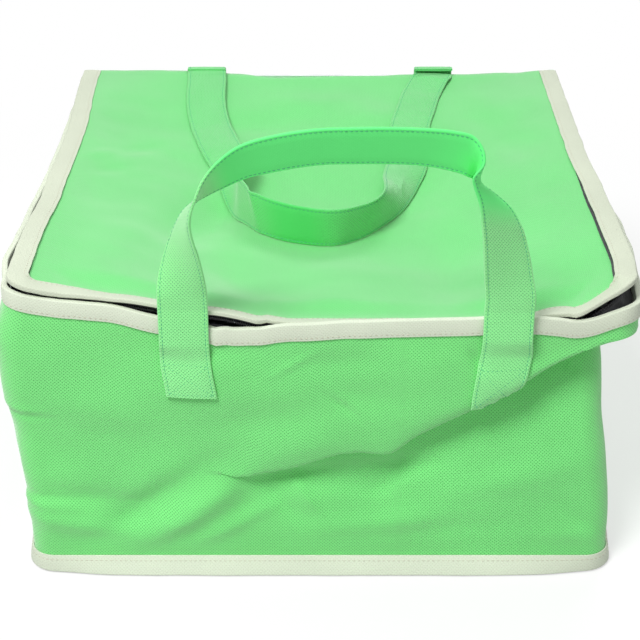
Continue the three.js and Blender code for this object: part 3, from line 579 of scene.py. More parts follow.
def wall_line(s):
    """The wall's outer face from inside the bottom binding to inside the rim binding, in rows."""
    key = round(s * 20000)
    if key not in wall_lines:
        foot, out = plan(s)
        face = even_steps(wall_profile(s), WALL_ROWS - SKIRT_ROWS - RIM_ROWS)
        hem = [
            tuple(foot + out * (skirt(foot) * (1 - z / SEAM_Z)) + Vector((0, 0, z)))
            for z in np.linspace(HEM_Z, SEAM_Z, SKIRT_ROWS, endpoint=False)
        ]
        top = rim_top(foot.x) - 0.0010
        low = rim_seam(foot.x)
        edge = foot + out * bow(foot.x) + flare(RIM_FLARES, foot.x, foot.y)
        rim = [tuple(edge + Vector((0, 0, z))) for z in np.linspace(low, top, RIM_ROWS + 1)[1:]]
        wall_lines[key] = np.array([*hem, *face, *rim])
    return wall_lines[key]


def closer_at_front(u):
    """The distance along the plan's line for a column, with three columns in five on the front."""
    side = SIDE_RUN - 0.02
    return side + float(np.interp(u, (0, 0.2, 0.8, 1), (-side, 0, WALL_RUN - 2 * side, WALL_RUN - side)))


wall_table = [wall_line(closer_at_front(i / WALL_COLUMNS)) for i in range(WALL_COLUMNS + 1)]
walls = cloth_grid("wall_cloth", wall_table)
thicken(walls, CLOTH, green_cloth)
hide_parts("wall_band")
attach(walls, "bag")


# Back and lid: one cut of green cloth, from the bottom seam up the back, over the fold that is the lid's
# hinge, and across the lid to its bound front edge. It sags between its edges, in soft waves.
# Painted shade: this is the walls' green cloth painted darker, so that the lid, which faces the lamps from
# above, does not render brighter than the walls. Its dots are fainter too.
lid_cloth = cloth_material(
    "green lid cloth", (0.138, 0.63, 0.175), (0.053, 0.46, 0.092), strength=0.45, sheen=0.6, depth=0.0001,
)
LID_SAG = 0.029
LID_EDGE_IN = 0.0011
LID_BACK_Y = 0.1725
FOLD_Y = 0.1768
FOLD_Z = 0.1919
FOLD_RADIUS = 0.0022
LID_CREASES = [
    (-0.066, -0.020, 62, 0.070, 0.018, -0.0062),
    (-0.110, -0.060, 74, 0.075, 0.020, 0.0034),
    (0.080, -0.090, 84, 0.070, 0.018, -0.0064),
    (0.012, -0.125, 86, 0.046, 0.022, 0.0036),
    (-0.052, -0.118, 98, 0.036, 0.016, -0.0042),
    (-0.145, 0.030, 50, 0.022, 0.004, 0.0016),
    (-0.130, 0.045, 42, 0.024, 0.005, -0.0016),
    (-0.138, 0.010, 46, 0.020, 0.004, -0.0010),
    (0.132, -0.020, 96, 0.090, 0.016, 0.0030),
    (0.118, 0.090, 110, 0.050, 0.014, -0.0026),
    (-0.040, 0.110, 20, 0.060, 0.016, -0.0022),
    (0.035, 0.120, -24, 0.060, 0.016, 0.0018),
    (0.070, 0.020, 70, 0.050, 0.014, -0.0030),
]
GAPES = [(-0.95, 0), (-0.72, 1), (-0.2, 1), (-0.05, 0), (0.7, 0), (0.86, 0.5), (1, 0)]
BACK_DIPS = [
    (-0.165, 0), (-0.10, 0.0004), (-0.062, 0.0028), (-0.032, 0.0056), (-0.010, 0.0049), (0.03, 0.0041),
    (0.09, 0.0034), (0.145, 0.0022), (0.168, 0),
]

def lid_lean(x):
    """How steeply the lid's front edge rises, where the lid sags behind it."""
    gape = eased(GAPES, x / FRONT_HALF)
    return math.radians(4 + 15 * tuck(x) + 12 * gape * (1 - tuck(x)))


def lid_edge_y(x):
    inside = abs(x) - FRONT_HALF
    reach = CORNER - LID_EDGE_IN
    if inside <= 0:
        return -DEPTH / 2 - bow(x) + LID_EDGE_IN + behind(x)
    return CORNER_Y - math.sqrt(max(reach ** 2 - min(inside, reach) ** 2, 0))


def back_dip(x):
    """How far the lid's back edge dips between its corners."""
    return eased(BACK_DIPS, x)


def lid_height(x, y):
    """The lid cloth's upper face."""
    front = lid_edge_y(x) + 0.004
    share = min(max((LID_BACK_Y - y) / (LID_BACK_Y - front), 0), 1)
    across = min(max(x / FRONT_HALF, -1), 1)
    dip = (HEIGHT - lid_top(x)) * share ** 1.8
    sag = LID_SAG * (1 - across ** 2) * math.sin(math.pi * share)
    edge = min(1, 14 * (1 - abs(across))) * min(1, 10 * share) * min(1, 14 * (1 - share))
    waves = creases(LID_CREASES, x, y) + undulation(x, y, 14, 0.0020, 5.7) + undulation(x, y, 36, 0.0006, 1.3)
    free = HEIGHT - 0.0009 - dip - sag + waves * edge - back_dip(x) * (1 - ramp(share, 0, 0.18))
    from_edge = y - lid_edge_y(x)
    if abs(x) > FRONT_HALF or from_edge > 0.034:
        return free
    bound = lid_top(x) - 0.0011 - from_edge * math.sin(lid_lean(x))
    corner = ramp(abs(x), FRONT_HALF - 0.030, FRONT_HALF - 0.004)
    return bound + (free - bound) * max(ramp(from_edge, 0.012, 0.034), corner)


def lid_shift(place):
    """A place on the lid, moved with the flare of its nearer side."""
    share = min(abs(place.x) / (WIDTH / 2), 1) ** 2
    return place + flare(LID_FLARES, math.copysign(WIDTH / 2, place.x), place.y) * share


def back_swell(x, z):
    rise = min(max((z - SEAM_Z) / (0.1927 - SEAM_Z), 0), 1)
    half = WIDTH / 2 - 0.002
    swell = SIDE_SWELL * math.sin(math.pi * rise) * max(1 - (x / half) ** 2, 0) ** 2
    small = undulation(x, z, 15, 0.0018, 12.5) + undulation(x, z, 40, 0.0006, 2.2)
    small *= min(1, 5 * rise, 5 * (1 - rise))
    return swell + small * min(1, 12 * (1 - abs(x) / half))


def back_lid_line(x):
    line = [
        Vector((x, DEPTH / 2 + 0.007 * (1 - z / SEAM_Z), z))
        for z in np.linspace(HEM_Z, SEAM_Z, 4, endpoint=False)
    ]
    dip = back_dip(x)
    line += [
        Vector((x, DEPTH / 2 + back_swell(x, z), z - dip * ramp(z, 0.160, 0.1915)))
        for z in np.linspace(SEAM_Z, 0.1915, 60)
    ]
    for step in range(1, 8):
        turn = step / 8 * math.pi / 2
        y, z = FOLD_Y + FOLD_RADIUS * math.cos(turn), FOLD_Z - dip + FOLD_RADIUS * math.sin(turn)
        line.append(Vector((x, y, z)))
    line += [lid_shift(Vector((x, y, lid_height(x, y)))) for y in np.linspace(0.1755, lid_edge_y(x), 110)]
    return line


def turn_over(piece):
    """Turns a sheet's faces over, so that they point outwards."""
    pick(piece)
    bpy.ops.object.mode_set(mode="EDIT")
    bpy.ops.mesh.select_all(action="SELECT")
    bpy.ops.mesh.flip_normals()
    bpy.ops.object.mode_set(mode="OBJECT")


BACK_LID_COLUMNS = 116
BACK_LID_ROWS = 176
LID_HALF = WIDTH / 2 - LID_EDGE_IN
back_lid = cloth_grid("back_and_lid_cloth", [
    even_steps(back_lid_line((2 * i / BACK_LID_COLUMNS - 1) * LID_HALF), BACK_LID_ROWS)
    for i in range(BACK_LID_COLUMNS + 1)
])
turn_over(back_lid)
thicken(back_lid, CLOTH, lid_cloth)
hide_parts("back_panel", "lid_panel")
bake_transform(back_lid)


# Bindings: cream tape folded in half over each raw edge and sewn through near its inner edge. Each is a
# long folded strip with a rounded fold, slightly fuller between the fold and the stitches.
BINDING_DEPTH = 0.0125
BINDING = 0.0006
MERGED = 0.00002
CREAM = {"strength": 0.5, "sheen": 0.15, "depth": 0.00015}
cream_cloth = cloth_material("cream binding cloth", (0.66, 0.72, 0.58), (0.56, 0.60, 0.45), **CREAM)
# Painted shade: the lid's binding is the rim's cream tape painted darker, so that its top, which faces the
# lamps, does not render brighter.
lid_cream = cloth_material("cream lid binding cloth", (0.57, 0.62, 0.49), (0.48, 0.52, 0.38), **CREAM)


def swept(name, rings, material, closed_run=False):
    """A closed tube through rings of points: a grid whose long edges are merged and whose ends are filled."""
    table = [[*ring, ring[0]] for ring in rings]
    if closed_run:
        table.append(table[0])
    piece = cloth_grid(name, table)
    pick(piece)
    bpy.ops.object.mode_set(mode="EDIT")
    bpy.ops.mesh.select_all(action="SELECT")
    bpy.ops.mesh.remove_doubles(threshold=MERGED)
    bpy.ops.mesh.select_all(action="DESELECT")
    bpy.ops.mesh.select_mode(type="VERT")
    bpy.ops.mesh.select_non_manifold(extend=False)
    bpy.ops.mesh.fill_holes(sides=0)
    bpy.ops.mesh.select_all(action="SELECT")
    bpy.ops.mesh.normals_make_consistent(inside=False)
    bpy.ops.object.mode_set(mode="OBJECT")
    piece.data.materials.append(material)
    return smooth(piece, 40)


def folded_profile(depth, height, thickness, round_off=0.0009, full=0.00035):
    """Outer then inner points of a U that opens towards minus: (out, up), with its fold at out 0."""
    outer, inner = [], []
    for share in np.linspace(0, 1, 7)[:-1]:
        puff = full * math.sin(math.pi * share)
        outer.append((-depth + share * (depth - round_off), puff))
        inner.append((-depth + share * (depth - round_off), -thickness + 0.6 * puff))
    for step in range(5):
        turn = step / 4 * math.pi / 2
        outer.append((-round_off + round_off * math.sin(turn), -round_off + round_off * math.cos(turn)))
    lower = [(a, -height - b) for a, b in outer]
    outer += lower[::-1]
    inner.append((-thickness - 0.0002, -thickness))
    inner += [(a, -height - b) for a, b in inner][::-1]
    return outer + inner[::-1]


def thread_material(name, colour):
    material, tree, shader = new_material(name)
    place = add_node(tree, "ShaderNodeTexCoord").outputs["Object"]
    ply = add_node(
        tree, "ShaderNodeTexWave", {"Vector": place, "Scale": 1200, "Distortion": 1.5},
        bands_direction="DIAGONAL",
    )
    shade = mix_colours(tree, ply.outputs["Fac"], (*[c * 0.7 for c in colour], 1), (*colour, 1))
    fill(tree, shader, {"Base Color": shade, "Roughness": 0.5, "Sheen Weight": 0.2})
    return material


cream_thread = thread_material("cream thread", (0.62, 0.60, 0.47))


def sew(name, runs, thread, pitch=0.003, length=0.0021, radius=0.00022):
    """A seam of separate stitches along lines of (place, outward) pairs, each a bent, tapered thread."""
    sides, steps = 5, 5
    shape = []
    for step in range(steps):
        t = step / (steps - 1) * 2 - 1
        girth = radius * (1 - 0.75 * abs(t) ** 3)
        lift = radius * 0.9 * (1 - 1.9 * t * t)
        for k in range(sides):
            turn = 2 * math.pi * k / sides
            shape.append((t * length / 2, girth * math.cos(turn), lift + girth * math.sin(turn)))
    shape = np.array(shape)
    rings = [[step * sides + k for k in range(sides)] for step in range(steps)]
    faces = [
        (ring[k], ring[(k + 1) % sides], later[(k + 1) % sides], later[k])
        for ring, later in zip(rings, rings[1:]) for k in range(sides)
    ]
    faces += [tuple(rings[0][::-1]), tuple(rings[-1])]
    points, polygons = [], []
    for line_and_outs in runs:
        line, outs = (np.array([tuple(pair[k]) for pair in line_and_outs]) for k in (0, 1))
        run = run_lengths(line)
        for at in np.arange(pitch / 2, run[-1] - pitch / 2, pitch):
            middle = read_line(at, run, line)
            ahead = read_line(at + length / 2, run, line) - read_line(at - length / 2, run, line)
            ahead /= np.linalg.norm(ahead)
            up = read_line(at, run, outs)
            up -= ahead * up.dot(ahead)
            up /= np.linalg.norm(up)
            side = np.cross(up, ahead)
            base = len(points)
            points.extend(middle + shape @ np.array([ahead, side, up]))
            polygons.extend(tuple(base + i for i in face) for face in faces)
    mesh = bpy.data.meshes.new(name)
    mesh.from_pydata([tuple(p) for p in points], [], polygons)
    mesh.update()
    piece = bpy.data.objects.new(name, mesh)
    bpy.context.scene.collection.objects.link(piece)
    mesh.materials.append(thread)
    return smooth(piece, 60)


def edge_line(inset, step=0.003):
    count = round((WALL_RUN - 2 * inset) / step)
    return [inset + (WALL_RUN - 2 * inset) * i / count for i in range(count + 1)]


def lid_ring(s, profile):
    foot, out = plan(s)
    on_front = abs(foot.x) < FRONT_HALF
    lean = lid_lean(foot.x) * (1 if on_front else 0.3)
    wave = 0.0004 * noise.noise(Vector((s * 70, 0, 4)))
    reach = bow(foot.x) - (behind(foot.x) if on_front else 0) + wave
    edge = foot + out * reach + flare(LID_FLARES, foot.x, foot.y)
    top = lid_top(foot.x) + 0.0003 * noise.noise(Vector((s * 50, 2, 9)))
    squeeze = 1 - 0.3 * max(tuck(foot.x), math.sin(lean) / 0.3 if on_front else 0)
    ring = []
    for a, b in profile:
        b *= squeeze
        level = out * (a * math.cos(lean) - b * math.sin(lean) * 0.4)
        ring.append(edge + level + Vector((0, 0, top + b + a * math.sin(lean))))
    return ring


lid_profile = folded_profile(BINDING_DEPTH, LID_FLANGE, BINDING)
lid_tape = swept("lid_binding_tape", [lid_ring(s, lid_profile) for s in edge_line(0.0034)], lid_cream)
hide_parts("lid_binding")
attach(lid_tape, "lid")


def lid_stitch(s, face):
    ring = lid_ring(s, [(-0.0103, 0.0001 if face > 0 else -LID_FLANGE - 0.0001)])
    return ring[0], Vector((0, 0, face))


lid_runs = [[lid_stitch(s, face) for s in edge_line(0.006)] for face in (1, -1)]
lid_stitches = sew("lid_stitches", lid_runs, cream_thread)
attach(lid_stitches, "lid")


def rim_ring(s, profile):
    foot, out = plan(s)
    wave = 0.0004 * noise.noise(Vector((s * 60, 7, 4)))
    edge = foot + out * (bow(foot.x) + 0.0009 + wave) + flare(RIM_FLARES, foot.x, foot.y)
    top = rim_top(foot.x) + 0.0003 * noise.noise(Vector((s * 45, 5, 9)))
    if foot.y < CORNER_Y:
        pinch = foot.x + 0.0535
        peak, dent = math.exp(-((pinch / 0.003) ** 2)), math.exp(-(((pinch + 0.0045) / 0.0020) ** 2))
        top += 0.0008 * peak - 0.0007 * dent
        edge += out * 0.0007 * math.exp(-(((pinch + 0.002) / 0.004) ** 2))
    return [edge + out * b + Vector((0, 0, top + a)) for a, b in profile]


rim_profile = folded_profile(RIM_DEPTH, 0.0036, BINDING)
rim_tape = swept("rim_binding_tape", [rim_ring(s, rim_profile) for s in edge_line(0.0026)], cream_cloth)
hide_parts("rim_binding")
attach(rim_tape, "bag")


def rim_stitch(s, face):
    return rim_ring(s, [(-0.0087, 0.0001 if face > 0 else -0.0037)])[0], plan(s)[1] * face


rim_runs = [[rim_stitch(s, face) for s in edge_line(0.006)] for face in (1, -1)]
rim_stitches = sew("rim_stitches", rim_runs, cream_thread)
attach(rim_stitches, "bag")


# Bottom binding: the same tape over the seam between the walls and the bottom, all the way round. It
# flares out to the table like a narrow skirt, and is square at the two back corners.
def bottom_plan():
    """Places round the bottom's outline with their outward directions."""
    half, back = WIDTH / 2, DEPTH / 2
    corner_left = (Vector((-half, back, 0)), Vector((-1, 1, 0)))
    corner_right = (Vector((half, back, 0)), Vector((1, 1, 0)))
    across = np.linspace(half - 0.004, -half + 0.004, 100)
    back_run = [(Vector((x, back, 0)), Vector((0, 1, 0))) for x in across]
    return [*(plan(s) for s in edge_line(0.004)), corner_right, *back_run, corner_left]


def bottom_ring(foot, out, profile):
    """A profile of (height from the seam, out from the wall's face), flared out towards the table."""
    wave = 0.0005 * noise.noise(Vector((foot.x * 40, foot.y * 40, 6)))
    return [
        foot + out * (b + skirt(foot) * (-a) / SEAM_Z * 0.96 + wave * (-a) / SEAM_Z)
        + Vector((0, 0, SEAM_Z + 0.0002 + a))
        for a, b in profile
    ]


base_height = SEAM_Z - 0.0004
base_fold = folded_profile(base_height, 0.0031, BINDING, full=0.0003)
base_profile = [(min(-base_height - a, 0), b + 0.0009) for a, b in base_fold]
base_line = bottom_plan()
base_rings = [bottom_ring(foot, out, base_profile) for foot, out in base_line]
bottom_tape = swept("bottom_binding_tape", base_rings, cream_cloth, closed_run=True)
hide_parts("bottom_binding")
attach(bottom_tape, "bag")

bottom_run = [(bottom_ring(foot, out, [(-0.0026, 0.0011)])[0], out.normalized()) for foot, out in base_line]
bottom_stitches = sew("bottom_stitches", [bottom_run], cream_thread)
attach(bottom_stitches, "bag")


# Bottom: a square of the same green cloth with its edges turned up inside the binding. It is round at the
# two front corners, where the walls are folded, and square at the back ones, where they are sewn.
BOTTOM_IN = 0.0022


def bottom_outline():
    points = []
    half, round_off = WIDTH / 2 - BOTTOM_IN, CORNER - BOTTOM_IN
    front, back = -DEPTH / 2 + BOTTOM_IN, DEPTH / 2 - BOTTOM_IN
    left, right, bend = -half + round_off, half - round_off, front + round_off
    turns = [(round_off * math.cos(t), round_off * math.sin(t)) for t in np.linspace(0, math.pi / 2, 7)[1:]]
    points += [Vector((-half, y, 0)) for y in np.linspace(back, bend, 40)]
    points += [Vector((left - across, bend - along, 0)) for across, along in turns]
    points += [Vector((x, front, 0)) for x in np.linspace(left, right, 40)[1:]]
    points += [Vector((right + along, bend - across, 0)) for across, along in turns]
    points += [Vector((half, y, 0)) for y in np.linspace(bend, back, 40)[1:]]
    points += [Vector((x, back, 0)) for x in np.linspace(half, -half, 40)[1:-1]]
    return points


outline = bottom_outline()
rings = [[p * share for p in outline] for share in (0.02, 0.2, 0.4, 0.6, 0.8, 0.93, 0.985)]
rings += [[p + Vector((0, 0, z)) for p in outline] for z in (0.001, *np.linspace(0.002, SEAM_Z - 0.0002, 3))]
bottom_cloth = cloth_grid("bottom_cloth", zip(*[[*ring, ring[0]] for ring in rings]))
for loop, uv in zip(bottom_cloth.data.loops, bottom_cloth.data.uv_layers.active.data):
    place = bottom_cloth.data.vertices[loop.vertex_index].co
    uv.uv = (place.x, place.y + place.z)
bpy.ops.object.mode_set(mode="EDIT")
bpy.ops.mesh.select_all(action="SELECT")
bpy.ops.mesh.remove_doubles(threshold=MERGED)
bpy.ops.mesh.select_all(action="DESELECT")
bpy.ops.object.mode_set(mode="OBJECT")
for vertex in bottom_cloth.data.vertices:
    vertex.select = math.hypot(vertex.co.x, vertex.co.y) < 0.012
bpy.ops.object.mode_set(mode="EDIT")
bpy.ops.mesh.edge_face_add()
bpy.ops.mesh.select_all(action="SELECT")
bpy.ops.mesh.normals_make_consistent(inside=True)
bpy.ops.object.mode_set(mode="OBJECT")
thicken(bottom_cloth, CLOTH, green_cloth)
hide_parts("bottom_panel")
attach(bottom_cloth, "bag")


# Lining: foam about 2.5 mm thick faced with crinkled foil, one panel to each wall, the bottom and the lid,
# quilted to the cloth only at its edges. It shows when the lid is open.
foil, tree, shader = new_material("foil lining")
place = add_node(tree, "ShaderNodeTexCoord").outputs["UV"]
crinkle = add_node(
    tree, "ShaderNodeTexVoronoi", {"Vector": place, "Scale": 130}, feature="F2", voronoi_dimensions="2D",
)
height = arithmetic(tree, "MULTIPLY_ADD", speckle(tree, place, 420, 3), 0.35, crinkle.outputs["Distance"])
bump = add_node(tree, "ShaderNodeBump", {"Strength": 0.55, "Distance": 0.0006, "Height": height})
scuff = speckle(tree, place, 24, 5)
fill(tree, shader, {
    "Base Color": mix_colours(tree, scuff, (0.86, 0.87, 0.88, 1), (0.66, 0.68, 0.70, 1)),
    "Roughness": spread(tree, scuff, (0.35, 0.7), (0.26, 0.46)),
    "Normal": bump.outputs[0],
    "Metallic": 0.85,
})
FOAM = 0.0025
FOAM_IN = 0.0013
LINING_ROWS = 62
LINING_COLUMNS = 300


def wall_lining_line(column):
    """The wall's line again, up to the rim's binding."""
    line = wall_line(closer_at_front(column / LINING_COLUMNS))[SKIRT_ROWS:WALL_ROWS - RIM_ROWS + 1]
    limit = lid_top(line[0, 0]) - LID_FLANGE - 0.0097
    line = even_steps(line[line[:, 2] <= limit], LINING_ROWS)
    line[:, 2] += np.linspace(0.0006, -0.0004, LINING_ROWS + 1)
    return line


# It ends three columns short of each back seam, and the foam stands 1.4 mm in from the wall's face
wall_lining = cloth_grid("wall_lining", [wall_lining_line(k) for k in range(3, LINING_COLUMNS - 2)])
thicken(wall_lining, FOAM, foil, offset=-2.12)
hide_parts("front_liner", "left_liner", "right_liner")
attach(wall_lining, "bag")


def panel(name, columns, rows, place):
    """A sheet whose places follow from the shares of its width and length."""
    table = [[place(i / columns, j / rows) for j in range(rows + 1)] for i in range(columns + 1)]
    return cloth_grid(name, table)


def back_lining_place(u, v):
    x, z = (2 * u - 1) * 0.1655, 0.0116 + v * 0.1786
    return x, DEPTH / 2 + back_swell(x, z) - FOAM_IN, z


back_lining = panel("back_lining", 90, 44, back_lining_place)
turn_over(back_lining)
thicken(back_lining, FOAM, foil)
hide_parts("back_liner")
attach(back_lining, "bag")


def bottom_lining_place(u, v):
    wave = 0.0012 * abs(noise.noise(Vector((u * 6, v * 6, 3))))
    return (2 * u - 1) * 0.1706, (2 * v - 1) * 0.1746, 0.0038 + wave


bottom_lining = panel("bottom_lining", 80, 80, bottom_lining_place)
thicken(bottom_lining, 0.0024, foil)
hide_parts("bottom_liner")
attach(bottom_lining, "bag")


def lid_lining_place(u, v):
    x = (2 * u - 1) * 0.1604
    front = max(lid_edge_y(x) + 0.0135, -0.1700)
    y = 0.1722 + (front - 0.1722) * v
    return lid_shift(Vector((x, y, lid_height(x, y) - FOAM_IN)))


lid_lining = panel("lid_lining", 90, 96, lid_lining_place)
turn_over(lid_lining)
thicken(lid_lining, FOAM, foil)
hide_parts("lid_liner")
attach(lid_lining, "lid")


# Back seams: the walls' and the back's edges are turned out along each back corner's diagonal, side by
# side, and bound with the same folded tape from the bottom binding up to the rim.
SEAM_FOOT_Z = 0.0123
SEAM_HEAD_Z = 0.1803
seam_heights = np.linspace(SEAM_FOOT_Z, SEAM_HEAD_Z, 60)
seam_profile = folded_profile(0.0106, 0.0035, BINDING, full=0.0003)


def seam_place(side, out, across, z):
    d = math.sqrt(0.5)
    return Vector((side * (WIDTH / 2 + d * out - d * across), DEPTH / 2 + d * out + d * across, z))


def seam_tip(z):
    """The turned-out edge narrows where the rim's binding catches it."""
    return 1 - 0.55 * ramp(z, 0.170, SEAM_HEAD_Z)


def seam_ring(side, z):
    wave = 0.0007 * noise.noise(Vector((z * 40, side, 1)))
    tip = seam_tip(z)
    return [seam_place(side, -0.0013 + (0.0112 + a) * tip, b + 0.00175 + wave, z) for a, b in seam_profile]


def seam_run(side, face):
    out = seam_place(side, 0, face, 0) - seam_place(side, 0, 0, 0)
    return [(seam_place(side, 0.0016 * seam_tip(z), face * 0.0019, z), out) for z in seam_heights]


for side, word in ((-1, "left"), (1, "right")):
    seam_tape = swept(f"back_{word}_binding_tape", [seam_ring(side, z) for z in seam_heights], cream_cloth)
    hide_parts(f"back_{word}_binding")
    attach(seam_tape, "bag")
    seam_stitches = sew(f"back_{word}_stitches", [seam_run(side, face) for face in (1, -1)], cream_thread)
    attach(seam_stitches, "bag")


# Zip: black woven tape sewn into each binding and folded back behind it, with a coil of black nylon along
# its free edge. The zip is undone, and the coils lie apart in the slit between rim and lid.
tape_cloth, tree, shader = new_material("black zip tape")
place = add_node(tree, "ShaderNodeTexCoord").outputs["UV"]
twill = add_node(
    tree, "ShaderNodeTexWave", {"Vector": place, "Scale": 420, "Distortion": 0.6, "Detail": 1},
    bands_direction="DIAGONAL",
)
bump = add_node(tree, "ShaderNodeBump", {"Strength": 0.6, "Distance": 0.00015, "Height": twill.outputs["Fac"]})
fill(tree, shader, {
    "Base Color": mix_colours(
        tree, speckle(tree, place, 160, 4), (0.014, 0.014, 0.017, 1), (0.045, 0.047, 0.053, 1),
    ),
    "Normal": bump.outputs[0],
    "Roughness": 0.75,
    "Sheen Weight": 0.15,
})

COIL = 0.0023
ZIP_IN = 0.0042
TAPE = 0.0005
GAP = 0.0003
HALF_WEDGE = 0.00075
INNER_LEG = -0.001 - 2 * GAP - TAPE
COIL_LIFT = HALF_WEDGE + GAP + COIL / 2
TAPE_END = COIL_LIFT + COIL / 2 + GAP


def zip_line(x):
    """The height midway between the two coils."""
    return lid_top(x) - LID_FLANGE - 2 * GAP - TAPE - (HALF_WEDGE + GAP + COIL + GAP + 0.0007)


def zip_place(s, out, z):
    foot, direction = plan(s)
    return foot + direction * (out + bow(foot.x)) + Vector((0, 0, z))


def strip_outline(line, thickness):
    """A thin strip's closed outline from its centre line in (out, up)."""
    left, right = [], []
    for i, p in enumerate(line):
        a, b = Vector(line[max(i - 1, 0)]), Vector(line[min(i + 1, len(line) - 1)])
        t = (b - a).normalized()
        n = Vector((-t.y, t.x)) * thickness / 2
        left.append(Vector(p) + n)
        right.append(Vector(p) - n)
    return left + right[::-1]


def rim_tape_ring(s):
    foot = plan(s)[0]
    fold = rim_top(foot.x) - RIM_DEPTH - 0.0012
    inside = INNER_LEG - BINDING - GAP - TAPE / 2
    end = zip_line(foot.x) - TAPE_END
    rise = 0.0008 * max(-1, min(1, (end - fold) / 0.004))
    line = [
        (-0.00155, fold + 0.004), (-0.00155, fold + 0.001), (-0.0020, fold + 0.0001), (-0.0028, fold),
        (inside, fold + rise), (inside - 0.0003, fold + 0.35 * (end - fold)),
        (-ZIP_IN + 0.0002, fold + 0.7 * (end - fold)), (-ZIP_IN, end),
    ]
    shift = flare(RIM_FLARES, foot.x, foot.y)
    ring = []
    for p in strip_outline(line, TAPE):
        clear_of_slider = 1 - ramp(p.y, end - 0.0085, end - 0.0052)
        ring.append(zip_place(s, p.x, p.y) + shift * ramp(p.x, -ZIP_IN, -0.0030) * clear_of_slider)
    return ring


rim_zip_tape = swept("rim_zip_tape_cloth", [rim_tape_ring(s) for s in edge_line(0.0030)], tape_cloth)
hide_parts("rim_zip_tape")
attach(rim_zip_tape, "bag")


def lid_tape_ring(s):
    foot = plan(s)[0]
    low = lid_top(foot.x) - LID_FLANGE
    upper = low + BINDING + GAP + TAPE / 2
    under = low - GAP - TAPE / 2
    fold = -BINDING_DEPTH - GAP - TAPE / 2
    end = min(zip_line(foot.x) + TAPE_END, under - 0.0009)
    line = [
        (fold + 0.006, upper), (fold + 0.0012, upper), (fold + 0.0002, upper - 0.0005),
        (fold, (upper + under) / 2), (fold + 0.0003, under + 0.0004), (fold + 0.0012, under),
        (-ZIP_IN - 0.0012, under), (-ZIP_IN - 0.0003, under - 0.0003), (-ZIP_IN, end),
    ]
    shift = flare(LID_FLARES, foot.x, foot.y)
    on_front = abs(foot.x) < FRONT_HALF
    lean = lid_lean(foot.x) if on_front else 0
    back = behind(foot.x) if on_front else 0
    ring = []
    for p in strip_outline(line, TAPE):
        inner = min(max((-ZIP_IN - p.x) / 0.004, 0), 1)
        down = math.sin(lean) * min(p.x + ZIP_IN, 0)
        ring.append(zip_place(s, p.x - back * inner, p.y + down) + shift * inner)
    return ring


lid_zip_tape = swept("lid_zip_tape_cloth", [lid_tape_ring(s) for s in edge_line(0.0040)], tape_cloth)
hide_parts("lid_zip_tape")
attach(lid_zip_tape, "lid")

coil_nylon, tree, shader = new_material("black coil nylon")
rub = speckle(tree, add_node(tree, "ShaderNodeTexCoord").outputs["Object"], 300, 3, "3D")
fill(tree, shader, {
    "Base Color": mix_colours(tree, rub, (0.020, 0.020, 0.023, 1), (0.060, 0.060, 0.068, 1)),
    "Roughness": spread(tree, rub, (0.3, 0.7), (0.28, 0.5)),
})


def coil(name, start, end, lift, pitch=0.0013, wire=0.00042):
    """A zip coil: one unbroken thread of nylon, wound flat, seven steps to a turn."""
    steps = 7
    count = round((WALL_RUN - start - end) / pitch) * steps
    stations = [start + (WALL_RUN - start - end) * k / count for k in range(count + 1)]
    reach = COIL / 2 - wire
    line = []
    for k, s in enumerate(stations):
        turn = 2 * math.pi * k / steps
        z = zip_line(plan(s)[0].x) + lift + reach * 0.9 * math.sin(turn)
        line.append(zip_place(s, -ZIP_IN + reach * math.cos(turn), z))
    rings = []
    for k, (s, p) in enumerate(zip(stations, line)):
        ahead = (line[min(k + 1, count)] - line[max(k - 1, 0)]).normalized()
        side = ahead.cross(plan(s)[1].cross(Vector((0, 0, 1)))).normalized()
        up = side.cross(ahead)
        rings.append([p + (side * math.cos(t) + up * math.sin(t)) * wire for t in (0.4, 1.97, 3.54, 5.11)])
    return swept(name, rings, coil_nylon)


rim_coil = coil("rim_zip_coil_turns", 0.0114, 0.0114, -COIL_LIFT)
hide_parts("rim_zip_coil")
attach(rim_coil, "bag")
lid_coil = coil("lid_zip_coil_turns", 0.0114, 0.0339, COIL_LIFT)
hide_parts("lid_zip_coil")
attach(lid_coil, "lid")


# Slider and pull: die-cast zinc in black enamel, rubbed to metal on the edges. Their solids are kept as
# they are, and only take this finish.
enamel, tree, shader = new_material("black enamelled metal")
pebble = speckle(tree, add_node(tree, "ShaderNodeTexCoord").outputs["Object"], 900, 4, "3D")
edge = add_node(tree, "ShaderNodeNewGeometry").outputs["Pointiness"]
wear = arithmetic(tree, "MULTIPLY", spread(tree, edge, (0.52, 0.60), (0, 1)), pebble)
bump = add_node(tree, "ShaderNodeBump", {"Strength": 0.25, "Distance": 0.00004, "Height": pebble})
fill(tree, shader, {
    "Base Color": mix_colours(tree, wear, (0.012, 0.012, 0.014, 1), (0.35, 0.34, 0.33, 1)),
    "Roughness": spread(tree, pebble, (0, 1), (0.22, 0.42)),
    "Normal": bump.outputs[0],
    "Metallic": 0.3,
})
for name in ("zip_slider", "zip_pull"):
    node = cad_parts[name]
    node.data.materials.clear()
    node.data.materials.append(enamel)


# Handles: strap folded from the same cloth in two layers, 28 mm wide, sewn along both edges with dark
# green thread, and boxed with a cross where each end is sewn to the bag.
STRAP = 0.028
STRAP_THICK = 0.0018
EDGE_SEAM = 0.86
# Painted light and shade: both handles are one strap cloth, but the back handle, lying face up on the lid under
# the lamps, is painted a darker green, and the upright front handle a lighter one.
BACK_GREENS = ((0.130, 0.64, 0.175), (0.045, 0.42, 0.09))
end_strap_cloth = cloth_material("end strap cloth", *BACK_GREENS)
